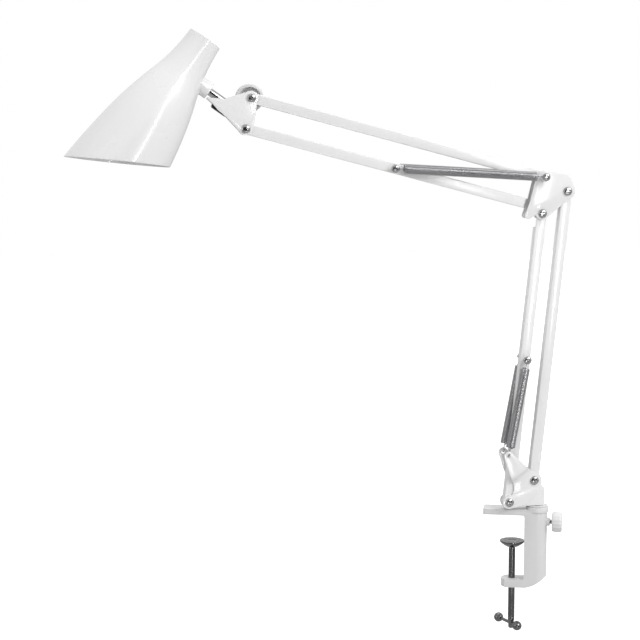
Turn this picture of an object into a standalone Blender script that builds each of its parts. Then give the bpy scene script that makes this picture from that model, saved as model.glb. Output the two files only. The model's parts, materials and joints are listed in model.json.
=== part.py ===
"""Swing-arm desk lamp on a screw clamp, with two spring-balanced parallelogram arms.

Frame: metres, +Z up.  The arms swing parallel to XZ and every arm pivot turns about Y.
The origin is on the underside of the clamp's upper jaw, the face that rests on the desk,
straight above the clamp screw.  The head points to -X.  "Near" is the -Y side.

Pieces are placed from the swivel post's axis, level with the same face.
"""

import math

import bmesh
import bpy
from mathutils import Matrix, Vector

MM = 0.001

# Fits
GAP = 0.3 * MM                  # between two pieces that touch
OPEN_PIVOT_GAP = 0.5 * MM       # round the two pins where each parallelogram is opened
MERGE = 0.000001
PIVOT_STEPS = 16
ROUND_STEPS = 32
SHADE_STEPS = 44

# Arms
LOWER_LENGTH = 346.0 * MM       # pivot to pivot
LOWER_LEAN = math.radians(5.8)  # from vertical, towards +X
UPPER_LENGTH = 355.5 * MM
UPPER_RISE = math.radians(14.9)
BAR_SIZE = 12.0 * MM            # square tube
BAR_WALL = 1.0 * MM
PIN_RADIUS = 2.0 * MM
SCREW_HEAD_RADIUS = 5.2 * MM
SCREW_HEAD_HEIGHT = 2.6 * MM
NUT_RADIUS = 4.4 * MM
NUT_HEIGHT = 5.2 * MM
NUT_DEPTH = 3.6 * MM
TAB_LENGTH = 17.0 * MM          # the flattened bar ends where two arms meet
TAB_THICKNESS = 2.6 * MM

# Side plates
PLATE = 1.5 * MM
PLATE_PLAY = 0.4 * MM           # bar side to plate
BAR_HALF = BAR_SIZE / 2
PLATE_INNER = BAR_HALF + PLATE_PLAY
PLATE_OUTER = PLATE_INNER + PLATE

# Pivots of the base bracket, (x, z), and the steps between linked pivots
BASE_REAR = Vector((-6.0 * MM, 43.0 * MM))
LOWER_STEP = Vector((-30.0 * MM, -26.0 * MM))      # rear bar to front bar
ELBOW_TOP_STEP = Vector((-28.0 * MM, 17.0 * MM))   # rear lower pivot to top upper pivot
UPPER_STEP = Vector((-6.6 * MM, -35.0 * MM))       # top bar to bottom bar

# Springs
SPRING_DIAMETER = 11.0 * MM
SPRING_WIRE = 1.2 * MM
SPRING_PLAY = 0.5 * MM
SPRING_HOOK = 10.0 * MM
SPRING_BOLT_RADIUS = 4.9 * MM   # the flanged head that keeps the hook on
EAR_FROM_BASE_REAR = Vector((-33.3 * MM, 31.2 * MM))
EAR_RADIUS = 5.6 * MM
SPRING_Y = PLATE_OUTER + SPRING_PLAY + SPRING_DIAMETER / 2
BEND_ANGLE = math.radians(37.3)  # the ears' bend lines, from +X
BEND_START = 50.0 * MM           # distance of the bend's two lines from the origin
BEND_END = 59.0 * MM

# Clamp
CLAMP_YAW = math.radians(-17.0)  # the arm is swivelled on the post by the same angle
CLAMP_WIDTH = 24.0 * MM
CLAMP_REACH = 64.0 * MM          # post axis to the tip of the upper jaw
UPPER_JAW = 7.0 * MM
POST_BOSS_HEIGHT = 10.0 * MM
POST_BOSS_RADIUS = CLAMP_WIDTH / 2 + 1.6 * MM
SPINE_FRONT = 14.5 * MM
JAW_GAP = 79.0 * MM              # between the two jaws
LOWER_JAW = 9.5 * MM
HEEL_RISE = 14.0 * MM            # the rounded lower back corner
SPINDLE_X = -29.3 * MM
SPINDLE_RADIUS = 4.0 * MM
SPINDLE_END = 141.8 * MM         # below the origin
PAD_RADIUS = 14.8 * MM
PAD_HEIGHT = 7.6 * MM
PAD_TOP = 33.0 * MM              # below the origin
TOMMY_RADIUS = 1.9 * MM
TOMMY_FRONT = 13.0 * MM
TOMMY_REAR = 28.0 * MM
TOMMY_DEPTH = 135.8 * MM
TOMMY_BALL = 5.8 * MM
TOMMY_TURN = math.radians(35.6)
LOCK_DEPTH = 8.8 * MM
LOCK_SCREW_RADIUS = 2.8 * MM
LOCK_BOSS_RADIUS = 5.0 * MM
LOCK_BOSS_END = 15.4 * MM
LOCK_KNOB_START = 17.9 * MM
LOCK_KNOB_LENGTH = 12.0 * MM
LOCK_KNOB_RADIUS = 12.4 * MM

# Swivel post
POST_RADIUS = 6.0 * MM
POST_DEPTH = 27.0 * MM           # below the origin
WASHER_RADIUS = 12.4 * MM
WASHER_THICKNESS = 1.4 * MM
CORE_BACK = 6.6 * MM
CORE_FRONT = 15.0 * MM
CORE_TOP = 33.0 * MM
BRACKET_BOTTOM = 12.3 * MM

# Head, stem and shade
TILT = math.radians(35.0)        # stem below horizontal, and shade axis off vertical
STEM_PIVOT_FROM_HEAD = Vector((-20.7 * MM, -11.4 * MM))
STEM_REACH = 70.0 * MM           # stem pivot to the shade's axis
STEM_RADIUS = 4.5 * MM
STEM_BORE = 3.2 * MM
STEM_INNER_END = 18.0 * MM       # from the shade's axis
STEM_OUTER_END = 65.0 * MM
BOSS_RADIUS = 9.85 * MM
BOSS_END = 37.5 * MM
NECK_GAP = 1.3 * MM
BLOCK_DROP = 13.5 * MM           # lower edge of the stem block, below the stem's axis
HEAD_KNOB_RADIUS = 16.4 * MM
HEAD_KNOB_RIM = 4.0 * MM
HEAD_KNOB_START = 10.0 * MM
HEAD_KNOB_END = 22.5 * MM
HEAD_KNOB_HUB = 6.0 * MM
SHADE_ABOVE_STEM = 47.5 * MM     # top of the shade above the stem's axis
SHADE_WALL = 0.9 * MM
SHADE_SHORT = 143.7 * MM         # axial length on the arm's side
SHADE_LONG = 201.7 * MM
MOUTH_LEAN = math.radians(3.6)   # the mouth's near edge is higher than its far edge
CAP_DOME = 1.6 * MM
CAP_SKIRT = 7.0 * MM
HOLDER_RADIUS = 15.6 * MM
HOLDER_TOP = 9.0 * MM            # below the shade's top
HOLDER_LENGTH = 44.0 * MM
SOCKET_RADIUS = 13.4 * MM
BULB_CAP_RADIUS = 12.9 * MM
BULB_CAP_LENGTH = 25.0 * MM
BULB_RADIUS = 27.0 * MM
BULB_WALL = 1.0 * MM
CAP_WALL = 0.6 * MM
BULB_LENGTH = 104.0 * MM

# (share of the long side, radius): the shade's outer profile from its top
SHADE_PROFILE = (
    (0.0, 19.8 * MM),
    (0.10, 21.0 * MM),
    (0.20, 24.4 * MM),
    (0.25, 26.6 * MM),
    (0.31, 30.8 * MM),
    (0.385, 35.5 * MM),
    (0.46, 39.6 * MM),
    (0.545, 43.7 * MM),
    (0.64, 47.2 * MM),
    (0.74, 50.2 * MM),
    (0.86, 53.4 * MM),
    (1.0, 56.3 * MM),
)


# ---------------------------------------------------------------- shared helpers

def clear_scene():
    for obj in list(bpy.data.objects):
        bpy.data.objects.remove(obj)


def make_material(name, colour, roughness, metallic=0.0):
    material = bpy.data.materials.new(name)
    material.use_nodes = True
    shader = material.node_tree.nodes["Principled BSDF"]
    shader.inputs["Base Color"].default_value = (*colour, 1.0)
    shader.inputs["Roughness"].default_value = roughness
    shader.inputs["Metallic"].default_value = metallic
    return material


def make_frame(name, location, parent=None, rotation=(0.0, 0.0, 0.0)):
    """An empty on a joint's axis, which the pieces of one body are parented to."""
    frame = bpy.data.objects.new(name, None)
    frame.location = location
    frame.rotation_euler = rotation
    frame.parent = parent
    bpy.context.scene.collection.objects.link(frame)
    return frame


def add_part(name, solid, material, frame, location=(0.0, 0.0, 0.0), rotation=(0.0, 0.0, 0.0)):
    mesh = bpy.data.meshes.new(name)
    solid.to_mesh(mesh)
    solid.free()
    mesh.materials.append(material)
    mesh.shade_smooth()
    mesh.set_sharp_from_angle(angle=math.radians(35.0))
    obj = bpy.data.objects.new(name, mesh)
    obj.location = location
    obj.rotation_euler = rotation
    obj.parent = frame
    bpy.context.scene.collection.objects.link(obj)
    return obj


def arc(centre, radius, start, end, steps=6):
    """Points on an arc, in degrees from the first axis towards the second."""
    points = []
    for index in range(steps + 1):
        angle = math.radians(start + (end - start) * index / steps)
        points.append((centre[0] + radius * math.cos(angle), centre[1] + radius * math.sin(angle)))
    return points


def prism(outline, low, high, plane="XZ"):
    """A closed outline extruded from low to high, along Y for an XZ outline or along Z for XY."""
    solid = bmesh.new()
    if plane == "XZ":
        verts = [solid.verts.new((first, low, second)) for first, second in outline]
        travel = Vector((0.0, high - low, 0.0))
    else:
        verts = [solid.verts.new((first, second, low)) for first, second in outline]
        travel = Vector((0.0, 0.0, high - low))
    face = solid.faces.new(verts)
    extruded = bmesh.ops.extrude_face_region(solid, geom=[face])
    moved = [item for item in extruded["geom"] if isinstance(item, bmesh.types.BMVert)]
    bmesh.ops.translate(solid, verts=moved, vec=travel)
    bmesh.ops.recalc_face_normals(solid, faces=solid.faces)
    return solid


def turned(profile, steps=PIVOT_STEPS, axis="Z", start=(0.0, 0.0, 0.0)):
    """A solid of revolution from (radius, height) points.

    A profile that starts on the axis ends on it, and any other profile is a closed loop.
    """
    solid = bmesh.new()
    verts = [solid.verts.new((radius, 0.0, height)) for radius, height in profile]
    edges = [solid.edges.new(pair) for pair in zip(verts, verts[1:])]
    if profile[0][0] > 0.0:
        edges.append(solid.edges.new((verts[-1], verts[0])))
    bmesh.ops.spin(solid, geom=verts + edges, cent=(0.0, 0.0, 0.0), axis=(0.0, 0.0, 1.0),
                   angle=2 * math.pi, steps=steps, use_merge=True)
    bmesh.ops.remove_doubles(solid, verts=solid.verts, dist=MERGE)
    bmesh.ops.recalc_face_normals(solid, faces=solid.faces)
    if axis == "Y":
        turn = Matrix.Rotation(math.radians(-90.0), 3, "X")
        bmesh.ops.rotate(solid, cent=(0.0, 0.0, 0.0), matrix=turn, verts=solid.verts)
    if axis == "X":
        turn = Matrix.Rotation(math.radians(90.0), 3, "Y")
        bmesh.ops.rotate(solid, cent=(0.0, 0.0, 0.0), matrix=turn, verts=solid.verts)
    bmesh.ops.translate(solid, verts=solid.verts, vec=start)
    return solid


def rod(radius, low, high, steps=PIVOT_STEPS, axis="Z", start=(0.0, 0.0, 0.0)):
    profile = [(0.0, low), (radius, low), (radius, high), (0.0, high)]
    return turned(profile, steps, axis, start)


def block(low, high):
    """An axis-aligned box between two corners."""
    outline = [(low[0], low[1]), (high[0], low[1]), (high[0], high[1]), (low[0], high[1])]
    return prism(outline, low[2], high[2], "XY")


def combine(base, tool, operation):
    """The boolean of two solids, with the exact solver."""
    pieces = []
    for solid in (base, tool):
        mesh = bpy.data.meshes.new("boolean_piece")
        solid.to_mesh(mesh)
        solid.free()
        piece = bpy.data.objects.new("boolean_piece", mesh)
        bpy.context.scene.collection.objects.link(piece)
        pieces.append(piece)
    pieces[1].hide_render = True
    pieces[1].display_type = "WIRE"
    modifier = pieces[0].modifiers.new("boolean", "BOOLEAN")
    modifier.operation = operation
    modifier.solver = "EXACT"
    modifier.object = pieces[1]
    result = bmesh.new()
    result.from_object(pieces[0], bpy.context.evaluated_depsgraph_get())
    for piece in pieces:
        mesh = piece.data
        bpy.data.objects.remove(piece)
        bpy.data.meshes.remove(mesh)
    bmesh.ops.remove_doubles(result, verts=result.verts, dist=MERGE)
    return result


def cut(base, *tools):
    for tool in tools:
        base = combine(base, tool, "DIFFERENCE")
    return base


def join(base, *tools):
    for tool in tools:
        base = combine(base, tool, "UNION")
    return base


def cross_hole(centre, radius, reach):
    """A cutter along Y through a plate or a bar."""
    return rod(radius, -reach, reach, axis="Y", start=(centre[0], 0.0, centre[1]))


def mirrored(solid):
    """The same solid on the other side of the arm's plane."""
    bmesh.ops.scale(solid, vec=(1.0, -1.0, 1.0), verts=solid.verts)
    bmesh.ops.recalc_face_normals(solid, faces=solid.faces)
    return solid


def point3(point, y=0.0):
    return (point[0], y, point[1])


# ---------------------------------------------------------------- derived places

def along(angle):
    """Unit vector in the XZ plane, from +X towards +Z."""
    return Vector((math.cos(angle), math.sin(angle)))


LOWER_DIRECTION = along(math.pi / 2 - LOWER_LEAN)
UPPER_DIRECTION = along(math.pi - UPPER_RISE)
BASE_FRONT = BASE_REAR + LOWER_STEP
ELBOW_REAR = BASE_REAR + LOWER_DIRECTION * LOWER_LENGTH
ELBOW_FRONT = ELBOW_REAR + LOWER_STEP
ELBOW_TOP = ELBOW_REAR + ELBOW_TOP_STEP
ELBOW_BOTTOM = ELBOW_TOP + UPPER_STEP
HEAD_TOP = ELBOW_TOP + UPPER_DIRECTION * UPPER_LENGTH
HEAD_BOTTOM = HEAD_TOP + UPPER_STEP
STEM_PIVOT = HEAD_TOP + STEM_PIVOT_FROM_HEAD
STEM_DIRECTION = along(-TILT)                # from the shade towards the arm
SHADE_DOWN = along(-math.pi / 2 - TILT)      # along the shade's axis, out of its mouth
SHADE_CENTRE = STEM_PIVOT - STEM_DIRECTION * STEM_REACH
LOWER_SPRING_BOLT = BASE_FRONT + LOWER_DIRECTION * (LOWER_LENGTH / 2)
UPPER_SPRING_BOLT = ELBOW_BOTTOM + UPPER_DIRECTION * (UPPER_LENGTH / 2)
SPRING_EAR = BASE_REAR + EAR_FROM_BASE_REAR
POST = along(CLAMP_YAW) * -SPINDLE_X         # (x, y) of the post's axis from the origin
TAB_RADIUS = min(BAR_HALF, (ELBOW_FRONT - ELBOW_BOTTOM).length - PIN_RADIUS - 2 * GAP)
PIN_HOLE = PIN_RADIUS + GAP


# ---------------------------------------------------------------- fasteners

def cross_screw(outer_face, head_radius=SCREW_HEAD_RADIUS, far_face=None):
    """A domed screw along Y whose head seats on the near face and whose end takes a cap nut."""
    far = outer_face if far_face is None else far_face
    seat = -(outer_face + GAP)
    crown = seat - SCREW_HEAD_HEIGHT
    end = far + GAP + NUT_DEPTH - GAP
    profile = [
        (0.0, crown),
        (head_radius * 0.62, crown + SCREW_HEAD_HEIGHT * 0.12),
        (head_radius * 0.92, crown + SCREW_HEAD_HEIGHT * 0.5),
        (head_radius, seat),
        (PIN_RADIUS, seat),
        (PIN_RADIUS, end),
        (0.0, end),
    ]
    return turned(profile, axis="Y")


def cap_nut(face):
    """A domed nut on the far side, with a blind bore for the screw's end."""
    seat = face + GAP
    profile = [
        (0.0, seat + NUT_DEPTH),
        (PIN_HOLE, seat + NUT_DEPTH),
        (PIN_HOLE, seat),
        (NUT_RADIUS, seat),
        (NUT_RADIUS, seat + NUT_HEIGHT * 0.6),
        (NUT_RADIUS * 0.7, seat + NUT_HEIGHT * 0.9),
        (0.0, seat + NUT_HEIGHT),
    ]
    return turned(profile, axis="Y")


def add_pivot(name, pivot, frame, origin, material, face=PLATE_OUTER, head_radius=SCREW_HEAD_RADIUS):
    """One screw and its nut across the arm, placed from the frame's own origin."""
    place = point3(pivot - origin)
    add_part(name + "_screw", cross_screw(face, head_radius), material, frame, place)
    add_part(name + "_nut", cap_nut(face), material, frame, place)


# ---------------------------------------------------------------- clamp

def clamp_outline(reach):
    """Plan of the jaws and spine: straight sides, round back on the post's axis."""
    half = CLAMP_WIDTH / 2
    corner = 3.0 * MM
    outline = arc((0.0, 0.0), half, -90.0, 90.0, 12)
    outline += arc((-reach + corner, half - corner), corner, 90.0, 180.0, 4)
    outline += arc((-reach + corner, -half + corner), corner, 180.0, 270.0, 4)
    return outline


def build_clamp_body():
    """A D-section bar the full height of the clamp, cut to a C and drilled."""
    half = CLAMP_WIDTH / 2
    beyond = CLAMP_REACH + CLAMP_WIDTH
    jaw_top = -JAW_GAP
    jaw_bottom = jaw_top - LOWER_JAW
    body = prism(clamp_outline(CLAMP_REACH), jaw_bottom, UPPER_JAW, "XY")
    throat = block((-beyond, -CLAMP_WIDTH, jaw_top), (-SPINE_FRONT, CLAMP_WIDTH, 0.0))
    end_radius = half * 1.08
    end_angle = math.degrees(math.acos(half * 0.9 / end_radius)) + 6.0
    end = arc((SPINDLE_X, 0.0), end_radius, 90.0 + end_angle, 270.0 - end_angle, 12)
    end_plan = [(-beyond, CLAMP_WIDTH), (end[0][0], CLAMP_WIDTH)] + end
    end_plan += [(end[-1][0], -CLAMP_WIDTH), (-beyond, -CLAMP_WIDTH)]
    jaw_end = prism(end_plan, jaw_bottom - BAR_SIZE, jaw_top / 2, "XY")

    heel_low = jaw_bottom - BAR_SIZE
    heel_back = half + BAR_SIZE
    heel_steps = 5
    heel = []
    for index in range(1, heel_steps + 1):
        share = index / heel_steps
        heel.append((-SPINE_FRONT + (half + SPINE_FRONT) * share,
                     jaw_bottom + HEEL_RISE * share ** 1.7))
    heel += [(heel_back, jaw_bottom + HEEL_RISE * 1.3), (heel_back, heel_low),
             (-SPINE_FRONT, heel_low)]
    heel_cutter = prism(heel, -CLAMP_WIDTH, CLAMP_WIDTH)
    body = cut(body, throat, jaw_end, heel_cutter)

    boss = rod(POST_BOSS_RADIUS, UPPER_JAW / 2, POST_BOSS_HEIGHT, ROUND_STEPS)
    lock_boss = rod(LOCK_BOSS_RADIUS, POST_RADIUS + BAR_WALL, LOCK_BOSS_END, axis="X",
                    start=(0.0, 0.0, -LOCK_DEPTH))
    body = join(body, boss, lock_boss)
    post_bore = rod(POST_RADIUS + GAP, -POST_DEPTH - GAP, POST_BOSS_HEIGHT + GAP, ROUND_STEPS)
    spindle_bore = rod(SPINDLE_RADIUS + GAP, jaw_bottom - GAP, jaw_top + GAP, 20,
                       start=(SPINDLE_X, 0.0, 0.0))
    lock_bore = rod(LOCK_SCREW_RADIUS + GAP, 0.0, LOCK_BOSS_END + GAP, axis="X",
                    start=(0.0, 0.0, -LOCK_DEPTH))
    return cut(body, post_bore, spindle_bore, lock_bore)


def build_pressure_pad():
    """A turned cup with a flat top and a socket for the spindle's tip."""
    top = -PAD_TOP
    bottom = top - PAD_HEIGHT
    socket = SPINDLE_RADIUS * 0.8 + GAP
    profile = [
        (0.0, top),
        (PAD_RADIUS, top),
        (PAD_RADIUS, top - PAD_HEIGHT * 0.22),
        (PAD_RADIUS * 0.72, top - PAD_HEIGHT * 0.72),
        (PAD_RADIUS * 0.45, bottom),
        (socket, bottom),
        (socket, top - PAD_HEIGHT * 0.5),
        (0.0, top - PAD_HEIGHT * 0.5),
    ]
    return turned(profile, 28)


def build_spindle():
    tip = -PAD_TOP - PAD_HEIGHT * 0.5 - GAP
    shoulder = -PAD_TOP - PAD_HEIGHT - GAP
    tail = SPINDLE_RADIUS * 0.85
    profile = [
        (0.0, tip),
        (SPINDLE_RADIUS * 0.8, tip),
        (SPINDLE_RADIUS * 0.8, shoulder),
        (SPINDLE_RADIUS, shoulder),
        (SPINDLE_RADIUS, -TOMMY_DEPTH + TOMMY_BALL),
        (tail, -TOMMY_DEPTH + TOMMY_RADIUS * 2),
        (tail, -SPINDLE_END + TOMMY_RADIUS / 2),
        (tail * 0.7, -SPINDLE_END),
        (0.0, -SPINDLE_END),
    ]
    hole = rod(TOMMY_RADIUS + GAP, -PAD_RADIUS, PAD_RADIUS, 12, "Y", (0.0, 0.0, -TOMMY_DEPTH))
    bmesh.ops.rotate(hole, cent=(0.0, 0.0, 0.0), matrix=Matrix.Rotation(TOMMY_TURN, 3, "Z"),
                     verts=hole.verts)
    return cut(turned(profile, 20), hole)


def build_tommy_ball(centre, inward):
    """A ball with a blind bore that the rod's end is pressed into."""
    steps = 8
    bore = TOMMY_RADIUS + GAP
    open_angle = math.asin(bore / TOMMY_BALL)
    profile = [(0.0, TOMMY_BALL * 0.3), (bore, TOMMY_BALL * 0.3)]
    for index in range(steps + 1):
        angle = open_angle + (math.pi - open_angle) * index / steps
        profile.append((TOMMY_BALL * math.sin(angle), TOMMY_BALL * math.cos(angle)))
    profile[-1] = (0.0, -TOMMY_BALL)
    ball = turned([(radius, height * inward) for radius, height in profile], axis="Y",
                  start=(0.0, centre, 0.0))
    return ball


def build_clamp(clamp_frame, white, steel, plastic):
    add_part("clamp_body", build_clamp_body(), white, clamp_frame)

    spindle_frame = make_frame("spindle_axis", (SPINDLE_X, 0.0, 0.0), clamp_frame)
    add_part("pressure_pad", build_pressure_pad(), steel, spindle_frame)
    add_part("clamp_spindle", build_spindle(), steel, spindle_frame)

    bar_frame = make_frame("tommy_bar_axis", (0.0, 0.0, -TOMMY_DEPTH), spindle_frame,
                           (0.0, 0.0, TOMMY_TURN))
    inset = TOMMY_BALL * 0.3 + GAP
    add_part("tommy_rod", rod(TOMMY_RADIUS, -TOMMY_FRONT + inset, TOMMY_REAR - inset, 12, "Y"),
             steel, bar_frame)
    add_part("tommy_ball_front", build_tommy_ball(-TOMMY_FRONT, 1.0), steel, bar_frame)
    add_part("tommy_ball_rear", build_tommy_ball(TOMMY_REAR, -1.0), steel, bar_frame)

    lock_frame = make_frame("lock_axis", (0.0, 0.0, -LOCK_DEPTH), clamp_frame)
    tip = POST_RADIUS + GAP
    knob_end = LOCK_KNOB_START + LOCK_KNOB_LENGTH
    seat = LOCK_KNOB_START + LOCK_KNOB_LENGTH * 0.7
    add_part("post_lock_screw", rod(LOCK_SCREW_RADIUS, tip, seat - GAP, 12, "X"), steel, lock_frame)
    bore = LOCK_SCREW_RADIUS + GAP
    barrel = LOCK_KNOB_RADIUS
    profile = [
        (0.0, seat),
        (bore, seat),
        (bore, LOCK_KNOB_START),
        (barrel * 0.93, LOCK_KNOB_START),
        (barrel, LOCK_KNOB_START + LOCK_KNOB_LENGTH * 0.3),
        (barrel, LOCK_KNOB_START + LOCK_KNOB_LENGTH * 0.7),
        (barrel * 0.93, knob_end),
        (0.0, knob_end),
    ]
    add_part("post_lock_knob", turned(profile, 28, "X"), plastic, lock_frame)


# ---------------------------------------------------------------- base bracket

def base_outline():
    """Side view of a base plate: two pivot lobes and a spring ear."""
    ear = SPRING_EAR
    rear = BASE_REAR
    front = BASE_FRONT
    outline = [(CORE_BACK, BRACKET_BOTTOM), (CORE_BACK, rear[1] - 9.0 * MM),
               (rear[0] + 9.0 * MM, rear[1] - 6.0 * MM)]
    outline += arc(rear, 9.0 * MM, 0.0, 70.0, 4)
    outline += [(rear[0] - 6.6 * MM, rear[1] + 14.4 * MM), (rear[0] - 13.3 * MM, rear[1] + 19.4 * MM),
                (rear[0] - 17.8 * MM, rear[1] + 24.4 * MM)]
    outline += arc(ear, EAR_RADIUS, 45.0, 200.0, 8)
    outline += [(front[0] - 1.1 * MM, front[1] + 32.6 * MM),
                (front[0] + 3.4 * MM, front[1] + 26.0 * MM),
                (front[0] + 5.1 * MM, front[1] + 20.0 * MM),
                (front[0] + 5.2 * MM, front[1] + 12.0 * MM)]
    outline += arc(front, 8.0 * MM, 80.0, 285.0, 10)
    outline.append((front[0] + 14.0 * MM, BRACKET_BOTTOM))
    return outline


def build_base_plate():
    """The near plate, with its ear set outwards to the spring's plane by two bends."""
    plate = prism(base_outline(), -PLATE_OUTER, -PLATE_INNER)
    reach = SPRING_Y + BAR_SIZE
    plate = cut(plate, cross_hole(BASE_REAR, PIN_HOLE, reach), cross_hole(BASE_FRONT, PIN_HOLE, reach),
                cross_hole(SPRING_EAR, PIN_RADIUS, reach))
    normal = along(BEND_ANGLE + math.pi / 2)
    for distance in (BEND_START, BEND_END):
        geometry = list(plate.verts) + list(plate.edges) + list(plate.faces)
        bmesh.ops.bisect_plane(plate, geom=geometry, plane_co=point3(normal * distance),
                               plane_no=point3(normal))
    offset = SPRING_Y - (PLATE_INNER + PLATE_OUTER) / 2
    for vert in plate.verts:
        distance = normal.dot(Vector((vert.co.x, vert.co.z)))
        share = (distance - BEND_START) / (BEND_END - BEND_START)
        vert.co.y -= offset * min(1.0, max(0.0, share))
    return plate


def build_swivel_post():
    """The post below the bracket and the core block that the plates are welded to."""
    half = PLATE_INNER - GAP
    bottom = POST_BOSS_HEIGHT + WASHER_THICKNESS + 2 * GAP
    core = block((-CORE_FRONT, -half, bottom), (CORE_BACK, half, CORE_TOP))
    post = rod(POST_RADIUS, -POST_DEPTH, bottom + POST_RADIUS, ROUND_STEPS)
    return join(core, post)


def build_base(frame, white, steel, nylon):
    add_part("swivel_post", build_swivel_post(), steel, frame)
    low = POST_BOSS_HEIGHT + GAP
    inner = POST_RADIUS + GAP
    ring = [(inner, low), (WASHER_RADIUS, low), (WASHER_RADIUS, low + WASHER_THICKNESS),
            (inner, low + WASHER_THICKNESS)]
    add_part("post_washer", turned(ring, ROUND_STEPS), nylon, frame)
    add_part("base_plate_near", build_base_plate(), white, frame)
    add_part("base_plate_far", mirrored(build_base_plate()), white, frame)
    add_pivot("base_rear", BASE_REAR, frame, Vector((0.0, 0.0)), steel)
    add_pivot("base_front", BASE_FRONT, frame, Vector((0.0, 0.0)), steel)


# ---------------------------------------------------------------- arm bars

def bar_cutters(holes, hole_radius, open_holes):
    cutters = []
    for distance in holes:
        radius = hole_radius + (OPEN_PIVOT_GAP - GAP if distance in open_holes else 0.0)
        cutters.append(cross_hole((distance, 0.0), radius, BAR_SIZE))
    return cutters


def build_bar(length, extra_holes=(), tab_side=0, open_holes=()):
    """A square tube along local +X from one pivot to the other, with round ends.

    tab_side -1 or +1 flattens the far end of the bar onto its near or far wall.
    """
    outline = arc((0.0, 0.0), BAR_HALF, 90.0, 270.0, 8)
    end = length - TAB_LENGTH if tab_side else length
    if tab_side:
        outline += [(end, -BAR_HALF), (end, BAR_HALF)]
    else:
        outline += arc((length, 0.0), BAR_HALF, -90.0, 90.0, 8)
    bar = prism(outline, -BAR_HALF, BAR_HALF)
    inner = BAR_HALF - BAR_WALL
    bar = cut(bar, block((-BAR_SIZE, -inner, -inner), (length + BAR_SIZE, inner, inner)))
    if tab_side:
        tab = [(end - BAR_HALF, BAR_HALF - BAR_WALL / 2), (end - BAR_HALF, -BAR_HALF + BAR_WALL / 2)]
        tab += arc((length, 0.0), TAB_RADIUS, -90.0, 90.0, 8)
        walls = sorted((tab_side * BAR_HALF, tab_side * (BAR_HALF - TAB_THICKNESS)))
        bar = join(bar, prism(tab, walls[0], walls[1]))
    holes = (0.0, length, *extra_holes)
    return cut(bar, *bar_cutters(holes, PIN_HOLE, open_holes))


def build_spring(length, near_pin, far_pin):
    """The outer shape of a close-wound spring with straight hook shanks, along local +X."""
    hook_radius = SPRING_WIRE
    radius = SPRING_DIAMETER / 2
    start = near_pin + SPRING_PLAY
    end = length - far_pin - SPRING_PLAY
    profile = [
        (0.0, start),
        (hook_radius, start),
        (hook_radius, SPRING_HOOK),
        (radius, SPRING_HOOK),
        (radius, length - SPRING_HOOK),
        (hook_radius, length - SPRING_HOOK),
        (hook_radius, end),
        (0.0, end),
    ]
    return turned(profile, 14, "X")


def add_springs(name, start, end, frame, origin, start_pin, end_pin, material):
    """The near and far spring between two points of the arm's plane."""
    span = end - start
    angle = math.atan2(span[1], span[0])
    for side, y in (("near", -SPRING_Y), ("far", SPRING_Y)):
        solid = build_spring(span.length, start_pin, end_pin)
        add_part(name + "_" + side, solid, material, frame, point3(start - origin, y),
                 (0.0, -angle, 0.0))


def build_lower_arm(base_frame, white, steel, spring_steel):
    angle = math.pi / 2 - LOWER_LEAN
    rear_frame = make_frame("lower_rear_bar_axis", point3(BASE_REAR), base_frame)
    front_frame = make_frame("lower_front_bar_axis", point3(BASE_FRONT), base_frame)
    add_part("lower_rear_bar", build_bar(LOWER_LENGTH), white, rear_frame, rotation=(0.0, -angle, 0.0))
    front = build_bar(LOWER_LENGTH, (LOWER_LENGTH / 2,), -1, (LOWER_LENGTH,))
    add_part("lower_front_bar", front, white, front_frame, rotation=(0.0, -angle, 0.0))
    face = SPRING_Y + SPRING_WIRE
    add_pivot("lower_spring", LOWER_SPRING_BOLT, front_frame, BASE_FRONT, steel, face,
              SPRING_BOLT_RADIUS)
    add_springs("lower_spring", LOWER_SPRING_BOLT, SPRING_EAR, front_frame, BASE_FRONT,
                PIN_RADIUS, EAR_RADIUS, spring_steel)


def build_upper_arm(elbow_frame, white, steel, spring_steel):
    angle = math.pi - UPPER_RISE
    top_frame = make_frame("upper_top_bar_axis", point3(ELBOW_TOP - ELBOW_REAR), elbow_frame)
    bottom_frame = make_frame("upper_bottom_bar_axis", point3(ELBOW_BOTTOM - ELBOW_REAR), elbow_frame)
    turn = (0.0, math.pi - angle, 0.0)
    top = build_bar(UPPER_LENGTH)
    bottom = build_upper_bottom_bar()
    for solid in (top, bottom):
        bmesh.ops.rotate(solid, cent=(0.0, 0.0, 0.0), matrix=Matrix.Rotation(math.pi, 3, "Z"),
                         verts=solid.verts)
    add_part("upper_top_bar", top, white, top_frame, rotation=turn)
    add_part("upper_bottom_bar", bottom, white, bottom_frame, rotation=turn)
    face = SPRING_Y + SPRING_WIRE
    add_pivot("upper_spring", UPPER_SPRING_BOLT, bottom_frame, ELBOW_BOTTOM, steel, face,
              SPRING_BOLT_RADIUS)
    add_springs("upper_spring", UPPER_SPRING_BOLT, ELBOW_TOP, bottom_frame, ELBOW_BOTTOM,
                PIN_RADIUS, PIN_RADIUS, spring_steel)
    return top_frame


def build_upper_bottom_bar():
    """The bottom bar starts at the elbow with its flattened end, so it is made end to end."""
    bar = build_bar(UPPER_LENGTH, (UPPER_LENGTH / 2,), 1, (0.0,))
    bmesh.ops.rotate(bar, cent=(0.0, 0.0, 0.0), matrix=Matrix.Rotation(math.pi, 3, "Z"),
                     verts=bar.verts)
    bmesh.ops.translate(bar, verts=bar.verts, vec=(UPPER_LENGTH, 0.0, 0.0))
    return bar


# ---------------------------------------------------------------- elbow

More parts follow.
